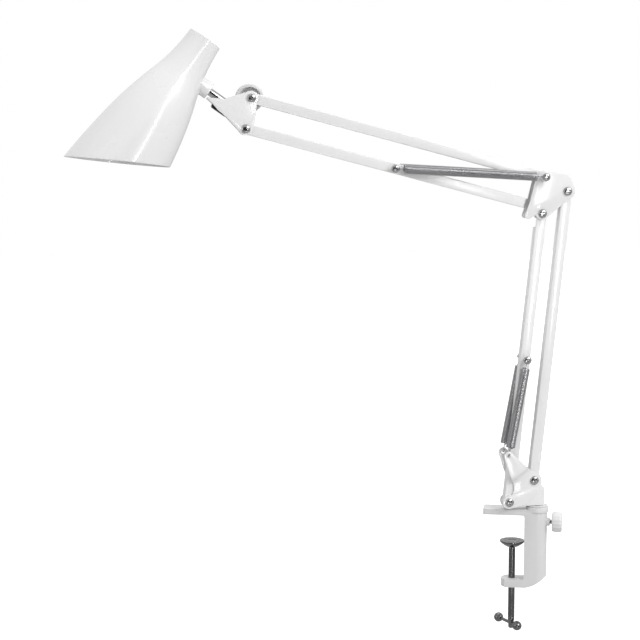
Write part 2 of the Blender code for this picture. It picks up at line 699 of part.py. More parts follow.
def elbow_outline():
    """Side view of an elbow plate, measured from its rear lower pivot."""
    top = ELBOW_TOP - ELBOW_REAR
    front = ELBOW_FRONT - ELBOW_REAR
    outline = arc((0.0, 0.0), 9.0 * MM, -75.0, 25.0, 5)
    outline += [(6.1 * MM, 9.6 * MM), (-0.2 * MM, top[1] + 3.3 * MM),
                (top[0] + 7.3 * MM, top[1] + 5.6 * MM)]
    outline += arc(top, 8.0 * MM, 60.0, 160.0, 5)
    outline += [(top[0] - 11.4 * MM, top[1] - 5.8 * MM),
                (front[0] - 14.8 * MM, front[1] + 15.5 * MM),
                (front[0] - 20.6 * MM, front[1] - 0.6 * MM)]
    outline += arc((front[0] - 17.2 * MM, front[1] - 2.6 * MM), 3.8 * MM, 170.0, 320.0, 5)
    outline.append((front[0] - 9.0 * MM, front[1] - 2.0 * MM))
    outline += arc(front, 7.5 * MM, 200.0, 330.0, 6)
    outline += [(front[0] + 14.0 * MM, front[1] + 2.6 * MM), (-7.3 * MM, -16.8 * MM),
                (-1.0 * MM, -12.0 * MM)]
    return outline


def build_elbow_plate():
    pivots = (Vector((0.0, 0.0)), ELBOW_FRONT - ELBOW_REAR, ELBOW_TOP - ELBOW_REAR,
              ELBOW_BOTTOM - ELBOW_REAR)
    plate = prism(elbow_outline(), -PLATE_OUTER, -PLATE_INNER)
    return cut(plate, *[cross_hole(pivot, PIN_HOLE, BAR_SIZE) for pivot in pivots])


def build_elbow(rear_bar_frame, white, steel):
    frame = make_frame("elbow_axis", point3(ELBOW_REAR - BASE_REAR), rear_bar_frame)
    add_part("elbow_plate_near", build_elbow_plate(), white, frame)
    add_part("elbow_plate_far", mirrored(build_elbow_plate()), white, frame)
    add_pivot("elbow_rear", ELBOW_REAR, frame, ELBOW_REAR, steel)
    add_pivot("elbow_front", ELBOW_FRONT, frame, ELBOW_REAR, steel)
    add_pivot("elbow_spring", ELBOW_TOP, frame, ELBOW_REAR, steel, SPRING_Y + SPRING_WIRE,
              SPRING_BOLT_RADIUS)
    rivet = rod(PIN_RADIUS, -PLATE_OUTER, PLATE_OUTER, axis="Y")
    add_part("elbow_bottom_pin", rivet, white, frame, point3(ELBOW_BOTTOM - ELBOW_REAR))
    return frame


# ---------------------------------------------------------------- head bracket

def stem_point(distance, drop):
    """A point in the arm's plane from the shade's centre: along the stem, and below its axis."""
    return SHADE_CENTRE + STEM_DIRECTION * distance + SHADE_DOWN * drop


def head_outline():
    """Side view of a head plate, measured from its upper pivot: two lobes and a pointed neck."""
    low = HEAD_BOTTOM - HEAD_TOP
    neck = BOSS_END + NECK_GAP
    outline = arc((0.0, 0.0), 8.0 * MM, -35.0, 130.0, 8)
    outline.append((-12.5 * MM, 4.3 * MM))
    for distance, drop in ((STEM_REACH - 13.0 * MM, -3.1 * MM), (neck + 1.2 * MM, 6.3 * MM),
                           (neck + 0.6 * MM, 8.6 * MM), (neck + 8.5 * MM, 9.4 * MM),
                           (neck + 17.3 * MM, 11.8 * MM), (STEM_REACH, 13.2 * MM)):
        outline.append(tuple(stem_point(distance, drop) - HEAD_TOP))
    outline += arc(low, 7.5 * MM, 205.0, 320.0, 6)
    outline.append((low[0] + 9.6 * MM, low[1] + 6.8 * MM))
    return outline


def build_head_plate():
    plate = prism(head_outline(), -PLATE_OUTER, -PLATE_INNER)
    pivots = (Vector((0.0, 0.0)), HEAD_BOTTOM - HEAD_TOP, STEM_PIVOT_FROM_HEAD)
    return cut(plate, *[cross_hole(pivot, PIN_HOLE, BAR_SIZE) for pivot in pivots])


def build_head_knob():
    """A cup-shaped hand knob, open towards the bracket, on the upper head bolt."""
    inner = HEAD_KNOB_RADIUS - HEAD_KNOB_RIM
    floor = HEAD_KNOB_END - HEAD_KNOB_RIM
    seat = PLATE_OUTER + GAP
    profile = [
        (0.0, floor - GAP),
        (PIN_HOLE, floor - GAP),
        (PIN_HOLE, seat),
        (HEAD_KNOB_HUB, seat),
        (HEAD_KNOB_HUB, floor),
        (inner, floor),
        (inner, HEAD_KNOB_START),
        (HEAD_KNOB_RADIUS - HEAD_KNOB_RIM / 4, HEAD_KNOB_START),
        (HEAD_KNOB_RADIUS, HEAD_KNOB_START + HEAD_KNOB_RIM / 4),
        (HEAD_KNOB_RADIUS, HEAD_KNOB_END - HEAD_KNOB_RIM / 2),
        (inner, HEAD_KNOB_END),
        (0.0, HEAD_KNOB_END),
    ]
    return turned(profile, ROUND_STEPS, "Y")


def build_head(top_bar_frame, white, steel, plastic):
    frame = make_frame("head_axis", point3(HEAD_TOP - ELBOW_TOP), top_bar_frame)
    add_part("head_plate_near", build_head_plate(), white, frame)
    add_part("head_plate_far", mirrored(build_head_plate()), white, frame)
    bolt_end = HEAD_KNOB_END - HEAD_KNOB_RIM - NUT_DEPTH - 2 * GAP
    add_part("head_upper_bolt", cross_screw(PLATE_OUTER, far_face=bolt_end), steel, frame)
    add_pivot("head_lower", HEAD_BOTTOM, frame, HEAD_TOP, steel)
    add_part("head_knob", build_head_knob(), plastic, frame)
    return frame


# ---------------------------------------------------------------- stem and shade

def build_stem_block():
    """The block between the head plates that carries the stem, in the shade's own axes."""
    half = PLATE_INNER - GAP
    front = BOSS_END + NECK_GAP + 9.5 * MM
    back = STEM_REACH + 7.5 * MM
    shoulder = STEM_REACH - 8.0 * MM
    rise = 7.0 * MM
    outline = [(shoulder, rise), (shoulder - 2.0 * MM, -GAP), (front, -STEM_RADIUS)]
    outline += arc((front + 2.5 * MM, -BLOCK_DROP + 2.5 * MM), 2.5 * MM, 180.0, 270.0, 4)
    outline += [(STEM_REACH - 2.0 * MM, -BLOCK_DROP)]
    outline += arc((back - 5.0 * MM, -rise + 5.0 * MM), 5.0 * MM, -70.0, 0.0, 4)
    outline += arc((back - 5.0 * MM, rise - 5.0 * MM), 5.0 * MM, 0.0, 90.0, 4)
    solid = prism(outline, -half, half)
    bore = rod(STEM_RADIUS + GAP, front - BAR_SIZE, STEM_OUTER_END + GAP, 20, "X")
    return cut(solid, bore, cross_hole((STEM_REACH, 0.0), PIN_HOLE, BAR_SIZE))


def shade_radius(depth):
    """Outer radius of the shade at a depth below its top."""
    share = min(1.0, max(0.0, depth / SHADE_LONG))
    for (low, low_radius), (high, high_radius) in zip(SHADE_PROFILE, SHADE_PROFILE[1:]):
        if share <= high:
            return low_radius + (high_radius - low_radius) * (share - low) / (high - low)
    return SHADE_PROFILE[-1][1]


def shade_wall(offset, start):
    """(radius, height) points of a wall inside or outside the shade's profile."""
    depths = [start] + [share * SHADE_LONG for share, _ in SHADE_PROFILE if share * SHADE_LONG > start]
    depths[-1] = SHADE_LONG * 1.08
    return [(shade_radius(depth) + offset, SHADE_ABOVE_STEM - depth) for depth in depths]


def build_shade_shell():
    """The bell, open at the neck, its mouth cut by a slanted plane."""
    start = CAP_DOME + GAP
    outer = shade_wall(0.0, start)
    inner = shade_wall(-SHADE_WALL, start)
    shell = turned(outer + inner[::-1], SHADE_STEPS)
    short_radius = shade_radius(SHADE_SHORT)
    long_radius = shade_radius(SHADE_LONG)
    short = Vector((short_radius, SHADE_ABOVE_STEM - SHADE_SHORT))
    long = Vector((-long_radius, SHADE_ABOVE_STEM - SHADE_LONG))
    slope = (short - long).normalized()
    beyond = SHADE_LONG
    slab = [tuple(long - slope * beyond), tuple(short + slope * beyond),
            (short[0] + beyond, -3 * beyond), (long[0] - beyond, -3 * beyond)]
    cutter = prism(slab, -beyond, beyond)
    bmesh.ops.rotate(cutter, cent=point3((short + long) / 2), verts=cutter.verts,
                     matrix=Matrix.Rotation(-MOUTH_LEAN, 3, Vector(point3(slope))))
    stem_hole = rod(STEM_RADIUS + GAP, HOLDER_RADIUS, BOSS_END, 20, "X")
    return cut(shell, cutter, stem_hole)


def build_shade_cap():
    rim = shade_radius(CAP_DOME)
    skirt = shade_radius(CAP_DOME) - SHADE_WALL - GAP
    top = SHADE_ABOVE_STEM
    under = top - CAP_DOME
    profile = [
        (0.0, top),
        (rim * 0.8, top - CAP_DOME * 0.25),
        (rim, under),
        (skirt, under),
        (skirt, under - CAP_SKIRT),
        (skirt - SHADE_WALL, under - CAP_SKIRT),
        (skirt - SHADE_WALL, under - SHADE_WALL),
        (0.0, under - SHADE_WALL),
    ]
    return turned(profile, SHADE_STEPS)


def build_shade_boss():
    """The stub on the neck, saddle-cut to the shade, that the stem passes through."""
    solid = rod(BOSS_RADIUS, HOLDER_RADIUS, BOSS_END, 28, "X")
    wall = shade_wall(GAP, CAP_DOME)
    neck = turned([(0.0, wall[0][1])] + wall + [(0.0, wall[-1][1])], SHADE_STEPS)
    bore = rod(STEM_RADIUS + GAP, 0.0, BOSS_END + GAP, 20, "X")
    return cut(solid, neck, bore)


def build_lampholder():
    """A screw-base holder: closed at the top, with a plain socket for the bulb's cap."""
    top = SHADE_ABOVE_STEM - HOLDER_TOP
    bottom = top - HOLDER_LENGTH
    floor = bottom + BULB_CAP_LENGTH + 6.0 * MM
    profile = [
        (0.0, top),
        (HOLDER_RADIUS * 0.8, top),
        (HOLDER_RADIUS, top - 4.0 * MM),
        (HOLDER_RADIUS, bottom + 4.0 * MM),
        (HOLDER_RADIUS - 0.8 * MM, bottom),
        (SOCKET_RADIUS, bottom),
        (SOCKET_RADIUS, floor),
        (0.0, floor),
    ]
    return turned(profile, 28), floor, bottom


def build_bulb_glass(neck_height):
    """A thin round bulb, open at the neck, whose globe fills the bell's middle."""
    end = neck_height + BULB_CAP_LENGTH - GAP - BULB_LENGTH
    centre = end + BULB_RADIUS
    neck = BULB_CAP_RADIUS - SHADE_WALL
    top = neck_height - GAP
    steps = 9
    start_angle = math.radians(38.0)
    outer = [(neck, top), (neck * 1.12, top - 8.0 * MM)]
    inner = [(neck - BULB_WALL, top), (neck * 1.12 - BULB_WALL, top - 8.0 * MM)]
    for index in range(steps + 1):
        angle = start_angle + (math.pi - start_angle) * index / steps
        direction = (math.sin(angle), math.cos(angle))
        for wall, radius in ((outer, BULB_RADIUS), (inner, BULB_RADIUS - BULB_WALL)):
            wall.append((radius * direction[0], centre + radius * direction[1]))
    outer[-1] = (0.0, end)
    inner[-1] = (0.0, end + BULB_WALL)
    return turned(inner[::-1] + outer, 28)


def build_bulb_cap(low):
    """The thin metal cap, closed at the top and open where the glass sits in it."""
    high = low + BULB_CAP_LENGTH
    inner = BULB_CAP_RADIUS - CAP_WALL
    profile = [
        (0.0, high),
        (5.0 * MM, high),
        (BULB_CAP_RADIUS, high - 4.0 * MM),
        (BULB_CAP_RADIUS, low),
        (inner, low),
        (inner, high - 4.0 * MM - CAP_WALL),
        (5.0 * MM - CAP_WALL, high - CAP_WALL),
        (0.0, high - CAP_WALL),
    ]
    return turned(profile, 28)


def build_shade(head_frame, white, steel, black, ceramic, glass):
    block_frame = make_frame("stem_block_axis", point3(STEM_PIVOT_FROM_HEAD), head_frame)
    centre = point3(-STEM_DIRECTION * STEM_REACH)
    tilted = (0.0, TILT, 0.0)
    add_part("stem_block", build_stem_block(), black, block_frame, centre, tilted)
    add_part("stem_pivot_pin", rod(PIN_RADIUS, -PLATE_OUTER, PLATE_OUTER, axis="Y"), white, block_frame)

    frame = make_frame("shade_roll_axis", centre, block_frame, tilted)
    tube = [(STEM_BORE, STEM_INNER_END), (STEM_RADIUS, STEM_INNER_END),
            (STEM_RADIUS, STEM_OUTER_END), (STEM_BORE, STEM_OUTER_END)]
    add_part("shade_stem", turned(tube, 20, "X"), steel, frame)
    nut_end = math.sqrt((shade_radius(SHADE_ABOVE_STEM) - SHADE_WALL) ** 2 - BOSS_RADIUS ** 2) - 2 * GAP
    nut = [(STEM_RADIUS + GAP, STEM_INNER_END + GAP), (BOSS_RADIUS * 0.75, STEM_INNER_END + GAP),
           (BOSS_RADIUS * 0.75, nut_end - GAP), (STEM_RADIUS + GAP, nut_end - GAP)]
    add_part("stem_nut", turned(nut, 20, "X"), steel, frame)
    add_part("shade_boss", build_shade_boss(), white, frame)
    add_part("shade_shell", build_shade_shell(), white, frame)
    add_part("shade_cap", build_shade_cap(), white, frame)

    holder, floor, mouth = build_lampholder()
    add_part("lampholder", holder, ceramic, frame)
    contact = rod(3.0 * MM, floor - 3.0 * MM, floor - GAP, 12)
    add_part("centre_contact", contact, steel, frame)
    cap_low = mouth - GAP
    add_part("bulb_cap", build_bulb_cap(cap_low), steel, frame)
    add_part("bulb_glass", build_bulb_glass(cap_low), glass, frame)


# ---------------------------------------------------------------- assembly

def main():
    clear_scene()
    white = make_material("white_enamel", (0.88, 0.88, 0.87), 0.28)
    cast_white = make_material("cast_white", (0.80, 0.80, 0.79), 0.45)
    steel = make_material("bright_steel", (0.62, 0.62, 0.63), 0.22, 1.0)
    spring_steel = make_material("spring_steel", (0.50, 0.50, 0.51), 0.30, 1.0)
    plastic = make_material("white_plastic", (0.84, 0.84, 0.83), 0.40)
    nylon = make_material("nylon", (0.75, 0.75, 0.72), 0.55)
    black = make_material("black_plastic", (0.02, 0.02, 0.02), 0.45)
    ceramic = make_material("holder_plastic", (0.86, 0.86, 0.84), 0.35)
    glass = make_material("opal_glass", (0.92, 0.92, 0.90), 0.15)

    post = (POST[0], POST[1], 0.0)
    clamp_frame = make_frame("clamp_axis", post, rotation=(0.0, 0.0, CLAMP_YAW))
    build_clamp(clamp_frame, cast_white, steel, plastic)
    base_frame = make_frame("swivel_axis", post)
    build_base(base_frame, white, steel, nylon)
    build_lower_arm(base_frame, white, steel, spring_steel)
    rear_frame = bpy.data.objects["lower_rear_bar_axis"]
    elbow_frame = build_elbow(rear_frame, white, steel)
    top_frame = build_upper_arm(elbow_frame, white, steel, spring_steel)
    head_frame = build_head(top_frame, white, steel, plastic)
    build_shade(head_frame, white, steel, black, ceramic, glass)
    bpy.context.view_layer.update()


main()
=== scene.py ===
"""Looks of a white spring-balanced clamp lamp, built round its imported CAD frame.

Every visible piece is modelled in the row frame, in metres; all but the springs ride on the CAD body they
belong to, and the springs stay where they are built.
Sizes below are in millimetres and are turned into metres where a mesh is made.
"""

from __future__ import annotations

import json
import logging
import math
from dataclasses import dataclass
from enum import Enum
from typing import Callable, Sequence

import bmesh
import bpy
from mathutils import Matrix, Vector

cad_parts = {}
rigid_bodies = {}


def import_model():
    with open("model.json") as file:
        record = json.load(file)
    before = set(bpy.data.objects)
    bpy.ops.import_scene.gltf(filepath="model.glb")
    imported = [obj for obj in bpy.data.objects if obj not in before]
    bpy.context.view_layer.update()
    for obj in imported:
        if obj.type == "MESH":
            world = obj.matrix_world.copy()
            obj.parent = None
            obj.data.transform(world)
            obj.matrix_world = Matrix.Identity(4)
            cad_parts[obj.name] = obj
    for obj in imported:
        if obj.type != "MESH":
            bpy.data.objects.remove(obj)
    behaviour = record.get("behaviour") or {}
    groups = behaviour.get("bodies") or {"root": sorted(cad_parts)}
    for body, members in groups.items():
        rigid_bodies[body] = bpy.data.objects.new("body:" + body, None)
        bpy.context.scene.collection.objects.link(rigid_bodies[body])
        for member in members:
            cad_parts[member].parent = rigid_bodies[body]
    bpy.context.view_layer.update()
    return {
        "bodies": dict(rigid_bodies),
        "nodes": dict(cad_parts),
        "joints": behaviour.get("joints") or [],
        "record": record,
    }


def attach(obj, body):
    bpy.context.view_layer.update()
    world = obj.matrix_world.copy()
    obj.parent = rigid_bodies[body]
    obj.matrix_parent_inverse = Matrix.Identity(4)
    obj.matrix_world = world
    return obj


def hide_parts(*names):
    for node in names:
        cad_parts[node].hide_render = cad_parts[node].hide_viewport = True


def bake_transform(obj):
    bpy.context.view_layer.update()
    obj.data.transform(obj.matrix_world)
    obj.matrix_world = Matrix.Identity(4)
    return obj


LOG = logging.getLogger("scene")
MM = 0.001
ORIGIN = (0.0, 0.0, 0.0)
UP = (0.0, 0.0, 1.0)
MERGE = 1e-5
Point2 = tuple[float, float]
Solid = bmesh.types.BMesh


# ---------------------------------------------------------------- finishes

class Pattern(Enum):
    """The kind of surface detail that a finish carries."""

    ENAMEL = "orange peel of sprayed enamel"
    CAST = "grain of a painted casting"
    TURNED = "fine lines left by a lathe"
    DRAWN = "faint streaks along drawn wire"
    MOULDED = "fine texture of moulded plastic"
    OPAL = "clouded glass"


@dataclass(frozen=True)
class Finish:
    """One surface finish, and the record's material slot it stands for."""

    name: str
    slot: str
    colour: tuple[float, float, float]
    pattern: Pattern
    roughness: float
    metallic: float = 0.0
    coat: float = 0.0


ENAMEL = Finish("gloss_enamel", "white_enamel", (0.82, 0.82, 0.82), Pattern.ENAMEL, 0.26, coat=0.6)
CAST = Finish("cast_enamel", "cast_white", (0.7, 0.7, 0.7), Pattern.CAST, 0.42, coat=0.25)
STEEL = Finish("dark_bright_steel", "bright_steel", (0.42, 0.42, 0.43), Pattern.TURNED, 0.2, 1.0)
# Painted reflection: this copy of the bright_steel slot gets a much darker base colour than the other
# steels, painting in the dark reflections that polished steel shows in the studio.
SPINDLE = Finish("spindle_steel_painted_reflection", "bright_steel", (0.17, 0.17, 0.175), Pattern.TURNED, 0.14, 1.0)
CHROME = Finish("chromed_stem", "bright_steel", (0.5, 0.5, 0.51), Pattern.TURNED, 0.12, 1.0)
SPRING = Finish("spring_wire", "spring_steel", (0.4, 0.4, 0.41), Pattern.DRAWN, 0.22, 1.0)
KNOB = Finish("white_knob_plastic", "white_plastic", (0.72, 0.72, 0.72), Pattern.MOULDED, 0.35)
BLACK = Finish("black_plastic_satin", "black_plastic", (0.012, 0.012, 0.013), Pattern.MOULDED, 0.34)
HOLDER = Finish("holder_plastic_satin", "holder_plastic", (0.55, 0.55, 0.54), Pattern.MOULDED, 0.45)
OPAL = Finish("opal_bulb_glass", "opal_glass", (0.83, 0.82, 0.79), Pattern.OPAL, 0.2)
BRASS = Finish("nickel_contact", "bright_steel", (0.55, 0.53, 0.48), Pattern.TURNED, 0.3, 1.0)


@dataclass(frozen=True)
class Texture:
    """How one pattern is drawn: scales per metre, then how much it moves each property."""

    stretch: tuple[float, float, float]
    fine: float
    broad: float
    bump: float
    depth: float
    rough: float
    tone: float


TEXTURES = {
    Pattern.ENAMEL: Texture((1.0, 1.0, 1.0), 620.0, 16.0, 0.05, 0.0002, 0.05, 0.02),
    Pattern.CAST: Texture((1.0, 1.0, 1.0), 850.0, 45.0, 0.16, 0.0003, 0.08, 0.05),
    Pattern.TURNED: Texture((0.35, 0.35, 5.0), 1100.0, 60.0, 0.03, 0.0001, 0.06, 0.1),
    Pattern.DRAWN: Texture((1.0, 1.0, 1.0), 900.0, 30.0, 0.02, 0.00005, 0.04, 0.08),
    Pattern.MOULDED: Texture((1.0, 1.0, 1.0), 1500.0, 50.0, 0.1, 0.0002, 0.06, 0.04),
    Pattern.OPAL: Texture((1.0, 1.0, 1.0), 300.0, 40.0, 0.03, 0.0002, 0.05, 0.03),
}


class PaintShop:
    """Makes each finish's material once, from object coordinates."""

    def __init__(self) -> None:
        """Starts with no material made."""
        self._made: dict[str, bpy.types.Material] = {}

    def material(self, finish: Finish) -> bpy.types.Material:
        """The material of a finish.

        Args:
            finish: The finish to make, or to find again.

        Returns:
            A procedural material with grain, bump and uneven gloss.
        """
        if finish.name not in self._made:
            self._made[finish.name] = self._mix(finish, TEXTURES[finish.pattern])
        return self._made[finish.name]

    def _mix(self, finish: Finish, texture: Texture) -> bpy.types.Material:
        """Wires one material's nodes."""
        material = bpy.data.materials.new(finish.name)
        material.use_nodes = True
        tree = material.node_tree
        shader = tree.nodes["Principled BSDF"]
        place = tree.nodes.new("ShaderNodeTexCoord")
        mapping = tree.nodes.new("ShaderNodeMapping")
        mapping.inputs["Scale"].default_value = texture.stretch
        tree.links.new(place.outputs["Object"], mapping.inputs["Vector"])
        noises = []
        for scale, detail in ((texture.fine, 3.0), (texture.broad, 4.0)):
            noise = tree.nodes.new("ShaderNodeTexNoise")
            noise.inputs["Scale"].default_value = scale
            noise.inputs["Detail"].default_value = detail
            tree.links.new(mapping.outputs["Vector"], noise.inputs["Vector"])
            noises.append(noise)
        fine, broad = noises

        tone = tree.nodes.new("ShaderNodeMix")
        tone.data_type = "RGBA"
        for socket, sign in ((tone.inputs[6], -1.0), (tone.inputs[7], 1.0)):
            socket.default_value = (*(c * (1.0 + sign * texture.tone) for c in finish.colour), 1.0)
        tree.links.new(broad.outputs["Fac"], tone.inputs[0])
        tree.links.new(tone.outputs[2], shader.inputs["Base Color"])

        gloss = tree.nodes.new("ShaderNodeMapRange")
        gloss.inputs["From Min"].default_value = 0.3
        gloss.inputs["From Max"].default_value = 0.7
        gloss.inputs["To Min"].default_value = max(0.02, finish.roughness - texture.rough)
        gloss.inputs["To Max"].default_value = finish.roughness + texture.rough
        tree.links.new(broad.outputs["Fac"], gloss.inputs["Value"])
        tree.links.new(gloss.outputs["Result"], shader.inputs["Roughness"])

        bump = tree.nodes.new("ShaderNodeBump")
        bump.inputs["Strength"].default_value = texture.bump
        bump.inputs["Distance"].default_value = texture.depth
        tree.links.new(fine.outputs["Fac"], bump.inputs["Height"])
        tree.links.new(bump.outputs["Normal"], shader.inputs["Normal"])

        shader.inputs["Metallic"].default_value = finish.metallic
        shader.inputs["Coat Weight"].default_value = finish.coat
        shader.inputs["Coat Roughness"].default_value = 0.12
        if finish.pattern is Pattern.OPAL:
            shader.inputs["Subsurface Weight"].default_value = 0.35
            shader.inputs["Subsurface Scale"].default_value = 0.004
        return material


# ---------------------------------------------------------------- outlines and solids

def arc(centre: Point2, radius: float, start: float, end: float, steps: int = 12) -> list[Point2]:
    """Points on an arc.

    Args:
        centre: The arc's centre.
        radius: Its radius.
        start: First angle in degrees, from the first axis towards the second.
        end: Last angle in degrees.
        steps: Number of steps between them.

    Returns:
        steps + 1 points.
    """
    angles = (math.radians(start + (end - start) * index / steps) for index in range(steps + 1))
    return [(centre[0] + radius * math.cos(a), centre[1] + radius * math.sin(a)) for a in angles]


def softened(points: Sequence[Point2], radius: float, closed: bool = True, steps: int = 3) -> list[Point2]:
    """Rounds the corners of an outline.

    Args:
        points: The outline.
        radius: How far from each corner the rounding starts, at most.
        closed: False for a profile whose two ends stay where they are.
        steps: Steps in each rounding.

    Returns:
        The outline with its sharper corners replaced by short curves.
    """
    corners = [Vector(p) for p in points]
    out: list[Point2] = []
    count = len(corners)
    for index, corner in enumerate(corners):
        if not closed and index in (0, count - 1):
            out.append(tuple(corner))
            continue
        before, after = corners[index - 1] - corner, corners[(index + 1) % count] - corner
        if before.length < 1e-9 or after.length < 1e-9 or (-before).angle(after) < math.radians(14.0):
            out.append(tuple(corner))
            continue
        reach = min(radius, before.length * 0.45, after.length * 0.45)
        first, last = corner + before.normalized() * reach, corner + after.normalized() * reach
        for step in range(steps + 1):
            t = step / steps
            out.append(tuple(first * (1 - t) ** 2 + corner * 2 * t * (1 - t) + last * t ** 2))
    return out


def spun(profile: Sequence[Point2], steps: int = 48, axis: str = "Z",
         start: Sequence[float] = ORIGIN) -> Solid:
    """A turned solid.

    Args:
        profile: (radius, height) points, from the axis back to the axis or a closed loop off it.
        steps: Steps in the full turn.
        axis: The axis it is turned about.
        start: Where the axis' zero is.

    Returns:
        A closed mesh with its faces outward.
    """
    solid = bmesh.new()
    verts = [solid.verts.new((radius, 0.0, height)) for radius, height in profile]
    edges = [solid.edges.new(pair) for pair in zip(verts, verts[1:])]
    if profile[0][0] > 1e-9:
        edges.append(solid.edges.new((verts[-1], verts[0])))
    bmesh.ops.spin(solid, geom=verts + edges, cent=ORIGIN, axis=UP,
                   angle=math.tau, steps=steps, use_merge=True)
    return sealed(laid(solid, axis, start))


def turned(profile: Sequence[Point2], rounding: float, steps: int = 48, axis: str = "Z",
           start: Sequence[float] = ORIGIN, corner_steps: int = 3) -> Solid:
    """A turned solid whose profile has its corners rounded.

    Args:
        profile: (radius, height) points from the axis back to the axis.
        rounding: How far from each corner the rounding starts, at most.
        steps: Steps in the full turn.
        axis: The axis it is turned about.
        start: Where the axis' zero is.
        corner_steps: Steps in each rounding.

    Returns:
        A closed mesh with its faces outward.
    """
    return spun(softened(profile, rounding, closed=False, steps=corner_steps), steps, axis, start)


def laid(solid: Solid, axis: str, start: Sequence[float] = ORIGIN) -> Solid:
    """The solid with its +Z laid along the named axis, and then moved to start."""
    turns = {"X": Matrix.Rotation(math.pi / 2, 3, "Y"), "Y": Matrix.Rotation(-math.pi / 2, 3, "X")}
    if axis in turns:
        bmesh.ops.rotate(solid, cent=ORIGIN, matrix=turns[axis], verts=solid.verts)
    bmesh.ops.translate(solid, verts=solid.verts, vec=start)
    return solid


def fluted(solid: Solid, beyond: float, depth: float, count: int) -> Solid:
    """Presses flutes into a turned solid's rim.

    Args:
        solid: A solid turned about Z.
        beyond: Radius past which the rim is pressed in.
        depth: Half the share of the radius that a flute takes away.
        count: Flutes in the full turn.

    Returns:
        The same solid.
    """
    for vert in solid.verts:
        if math.hypot(vert.co.x, vert.co.y) > beyond:
            share = 1.0 - depth * (1.0 - math.cos(count * math.atan2(vert.co.y, vert.co.x)))
            vert.co.x, vert.co.y = vert.co.x * share, vert.co.y * share
    return solid


def sealed(solid: Solid) -> Solid:
    """The same solid with doubled points merged and its faces turned outward."""
    bmesh.ops.remove_doubles(solid, verts=solid.verts, dist=MERGE)
    bmesh.ops.recalc_face_normals(solid, faces=solid.faces)
    return solid


def plate(outline: Sequence[Point2], low: float, high: float, edge: float = 0.0,
          flat: bool = False, segments: int = 2) -> Solid:
    """An outline pulled into a solid, with its two rims bevelled.

    Args:
        outline: Points in XZ, or in XY when flat.
        low: Where the solid starts, along the third axis.
        high: Where it ends.
        edge: Width of the bevel, 0 for none.
        flat: True for an outline in XY pulled along Z.
        segments: Steps of the bevel.

    Returns:
        A closed mesh with its faces outward.
    """
    solid = bmesh.new()
    if flat:
        verts, travel = [solid.verts.new((a, b, low)) for a, b in outline], (0.0, 0.0, high - low)
    else:
        verts, travel = [solid.verts.new((a, low, b)) for a, b in outline], (0.0, high - low, 0.0)
    face = solid.faces.new(verts)
    pulled = bmesh.ops.extrude_face_region(solid, geom=[face])
    moved = [item for item in pulled["geom"] if isinstance(item, bmesh.types.BMVert)]
    bmesh.ops.translate(solid, verts=moved, vec=travel)
    bmesh.ops.recalc_face_normals(solid, faces=solid.faces)
    if edge > 0.0:
        axis = 2 if flat else 1
        rims = [e for e in solid.edges if abs(e.verts[0].co[axis] - e.verts[1].co[axis]) < 1e-6]
        bmesh.ops.bevel(solid, geom=rims, offset=edge, segments=segments, profile=0.5,
                        affect="EDGES", material=-1, clamp_overlap=True)
    return solid


def box(low: Sequence[float], high: Sequence[float]) -> Solid:
    """A plain block, used only to cut with."""
    outline = [(low[0], low[1]), (high[0], low[1]), (high[0], high[1]), (low[0], high[1])]
    return plate(outline, low[2], high[2], flat=True)


def evaluated(solids: Sequence[Solid], dress: Callable[[list], None]) -> Solid:
    """Runs modifiers on scratch objects.

    Args:
        solids: The meshes to put into scratch objects, which are used up.
        dress: Adds modifiers to the first of the objects.

    Returns:
        The first object's mesh after its modifiers.
    """
    objects = []
    for solid in solids:
        mesh = bpy.data.meshes.new("scratch")
        solid.to_mesh(mesh)
        solid.free()
        scratch = bpy.data.objects.new("scratch", mesh)
        bpy.context.scene.collection.objects.link(scratch)
        objects.append(scratch)
    dress(objects)
    result = bmesh.new()
    result.from_object(objects[0], bpy.context.evaluated_depsgraph_get())
    for scratch in objects:
        mesh = scratch.data
        bpy.data.objects.remove(scratch)
        bpy.data.meshes.remove(mesh)
    return result


def combined(base: Solid, tool: Solid, operation: str) -> Solid:
    """The boolean of two solids; both are used up."""
    def dress(objects: list) -> None:
        """Sets the boolean of the first object with the second."""
        modifier = objects[0].modifiers.new("boolean", "BOOLEAN")
        modifier.operation = operation
        modifier.solver = "EXACT"
        modifier.object = objects[1]
    return evaluated([base, tool], dress)


def cut(base: Solid, *tools: Solid) -> Solid:
    """The base with every tool taken out of it."""
    for tool in tools:
        base = combined(base, tool, "DIFFERENCE")
    return base


def join(base: Solid, *tools: Solid) -> Solid:
    """The base with every tool added to it."""
    for tool in tools:
        base = combined(base, tool, "UNION")
    return base


def eased(solid: Solid, width: float, angle: float = 40.0) -> Solid:
    """A cut solid with its sharp edges rounded by a bevel."""
    bmesh.ops.remove_doubles(solid, verts=solid.verts, dist=0.02)

    def dress(objects: list) -> None:
        """Bevels the edges that are steeper than the angle."""
        modifier = objects[0].modifiers.new("edges", "BEVEL")
        modifier.width = width
        modifier.segments = 3
        modifier.limit_method = "ANGLE"
        modifier.angle_limit = math.radians(angle)
    return evaluated([solid], dress)


def together(*solids: Solid) -> Solid:
    """Several closed solids kept as the shells of one mesh."""
    whole = bmesh.new()
    for solid in solids:
        mesh = bpy.data.meshes.new("shell")
        solid.to_mesh(mesh)
        solid.free()
        whole.from_mesh(mesh)
        bpy.data.meshes.remove(mesh)
    return whole


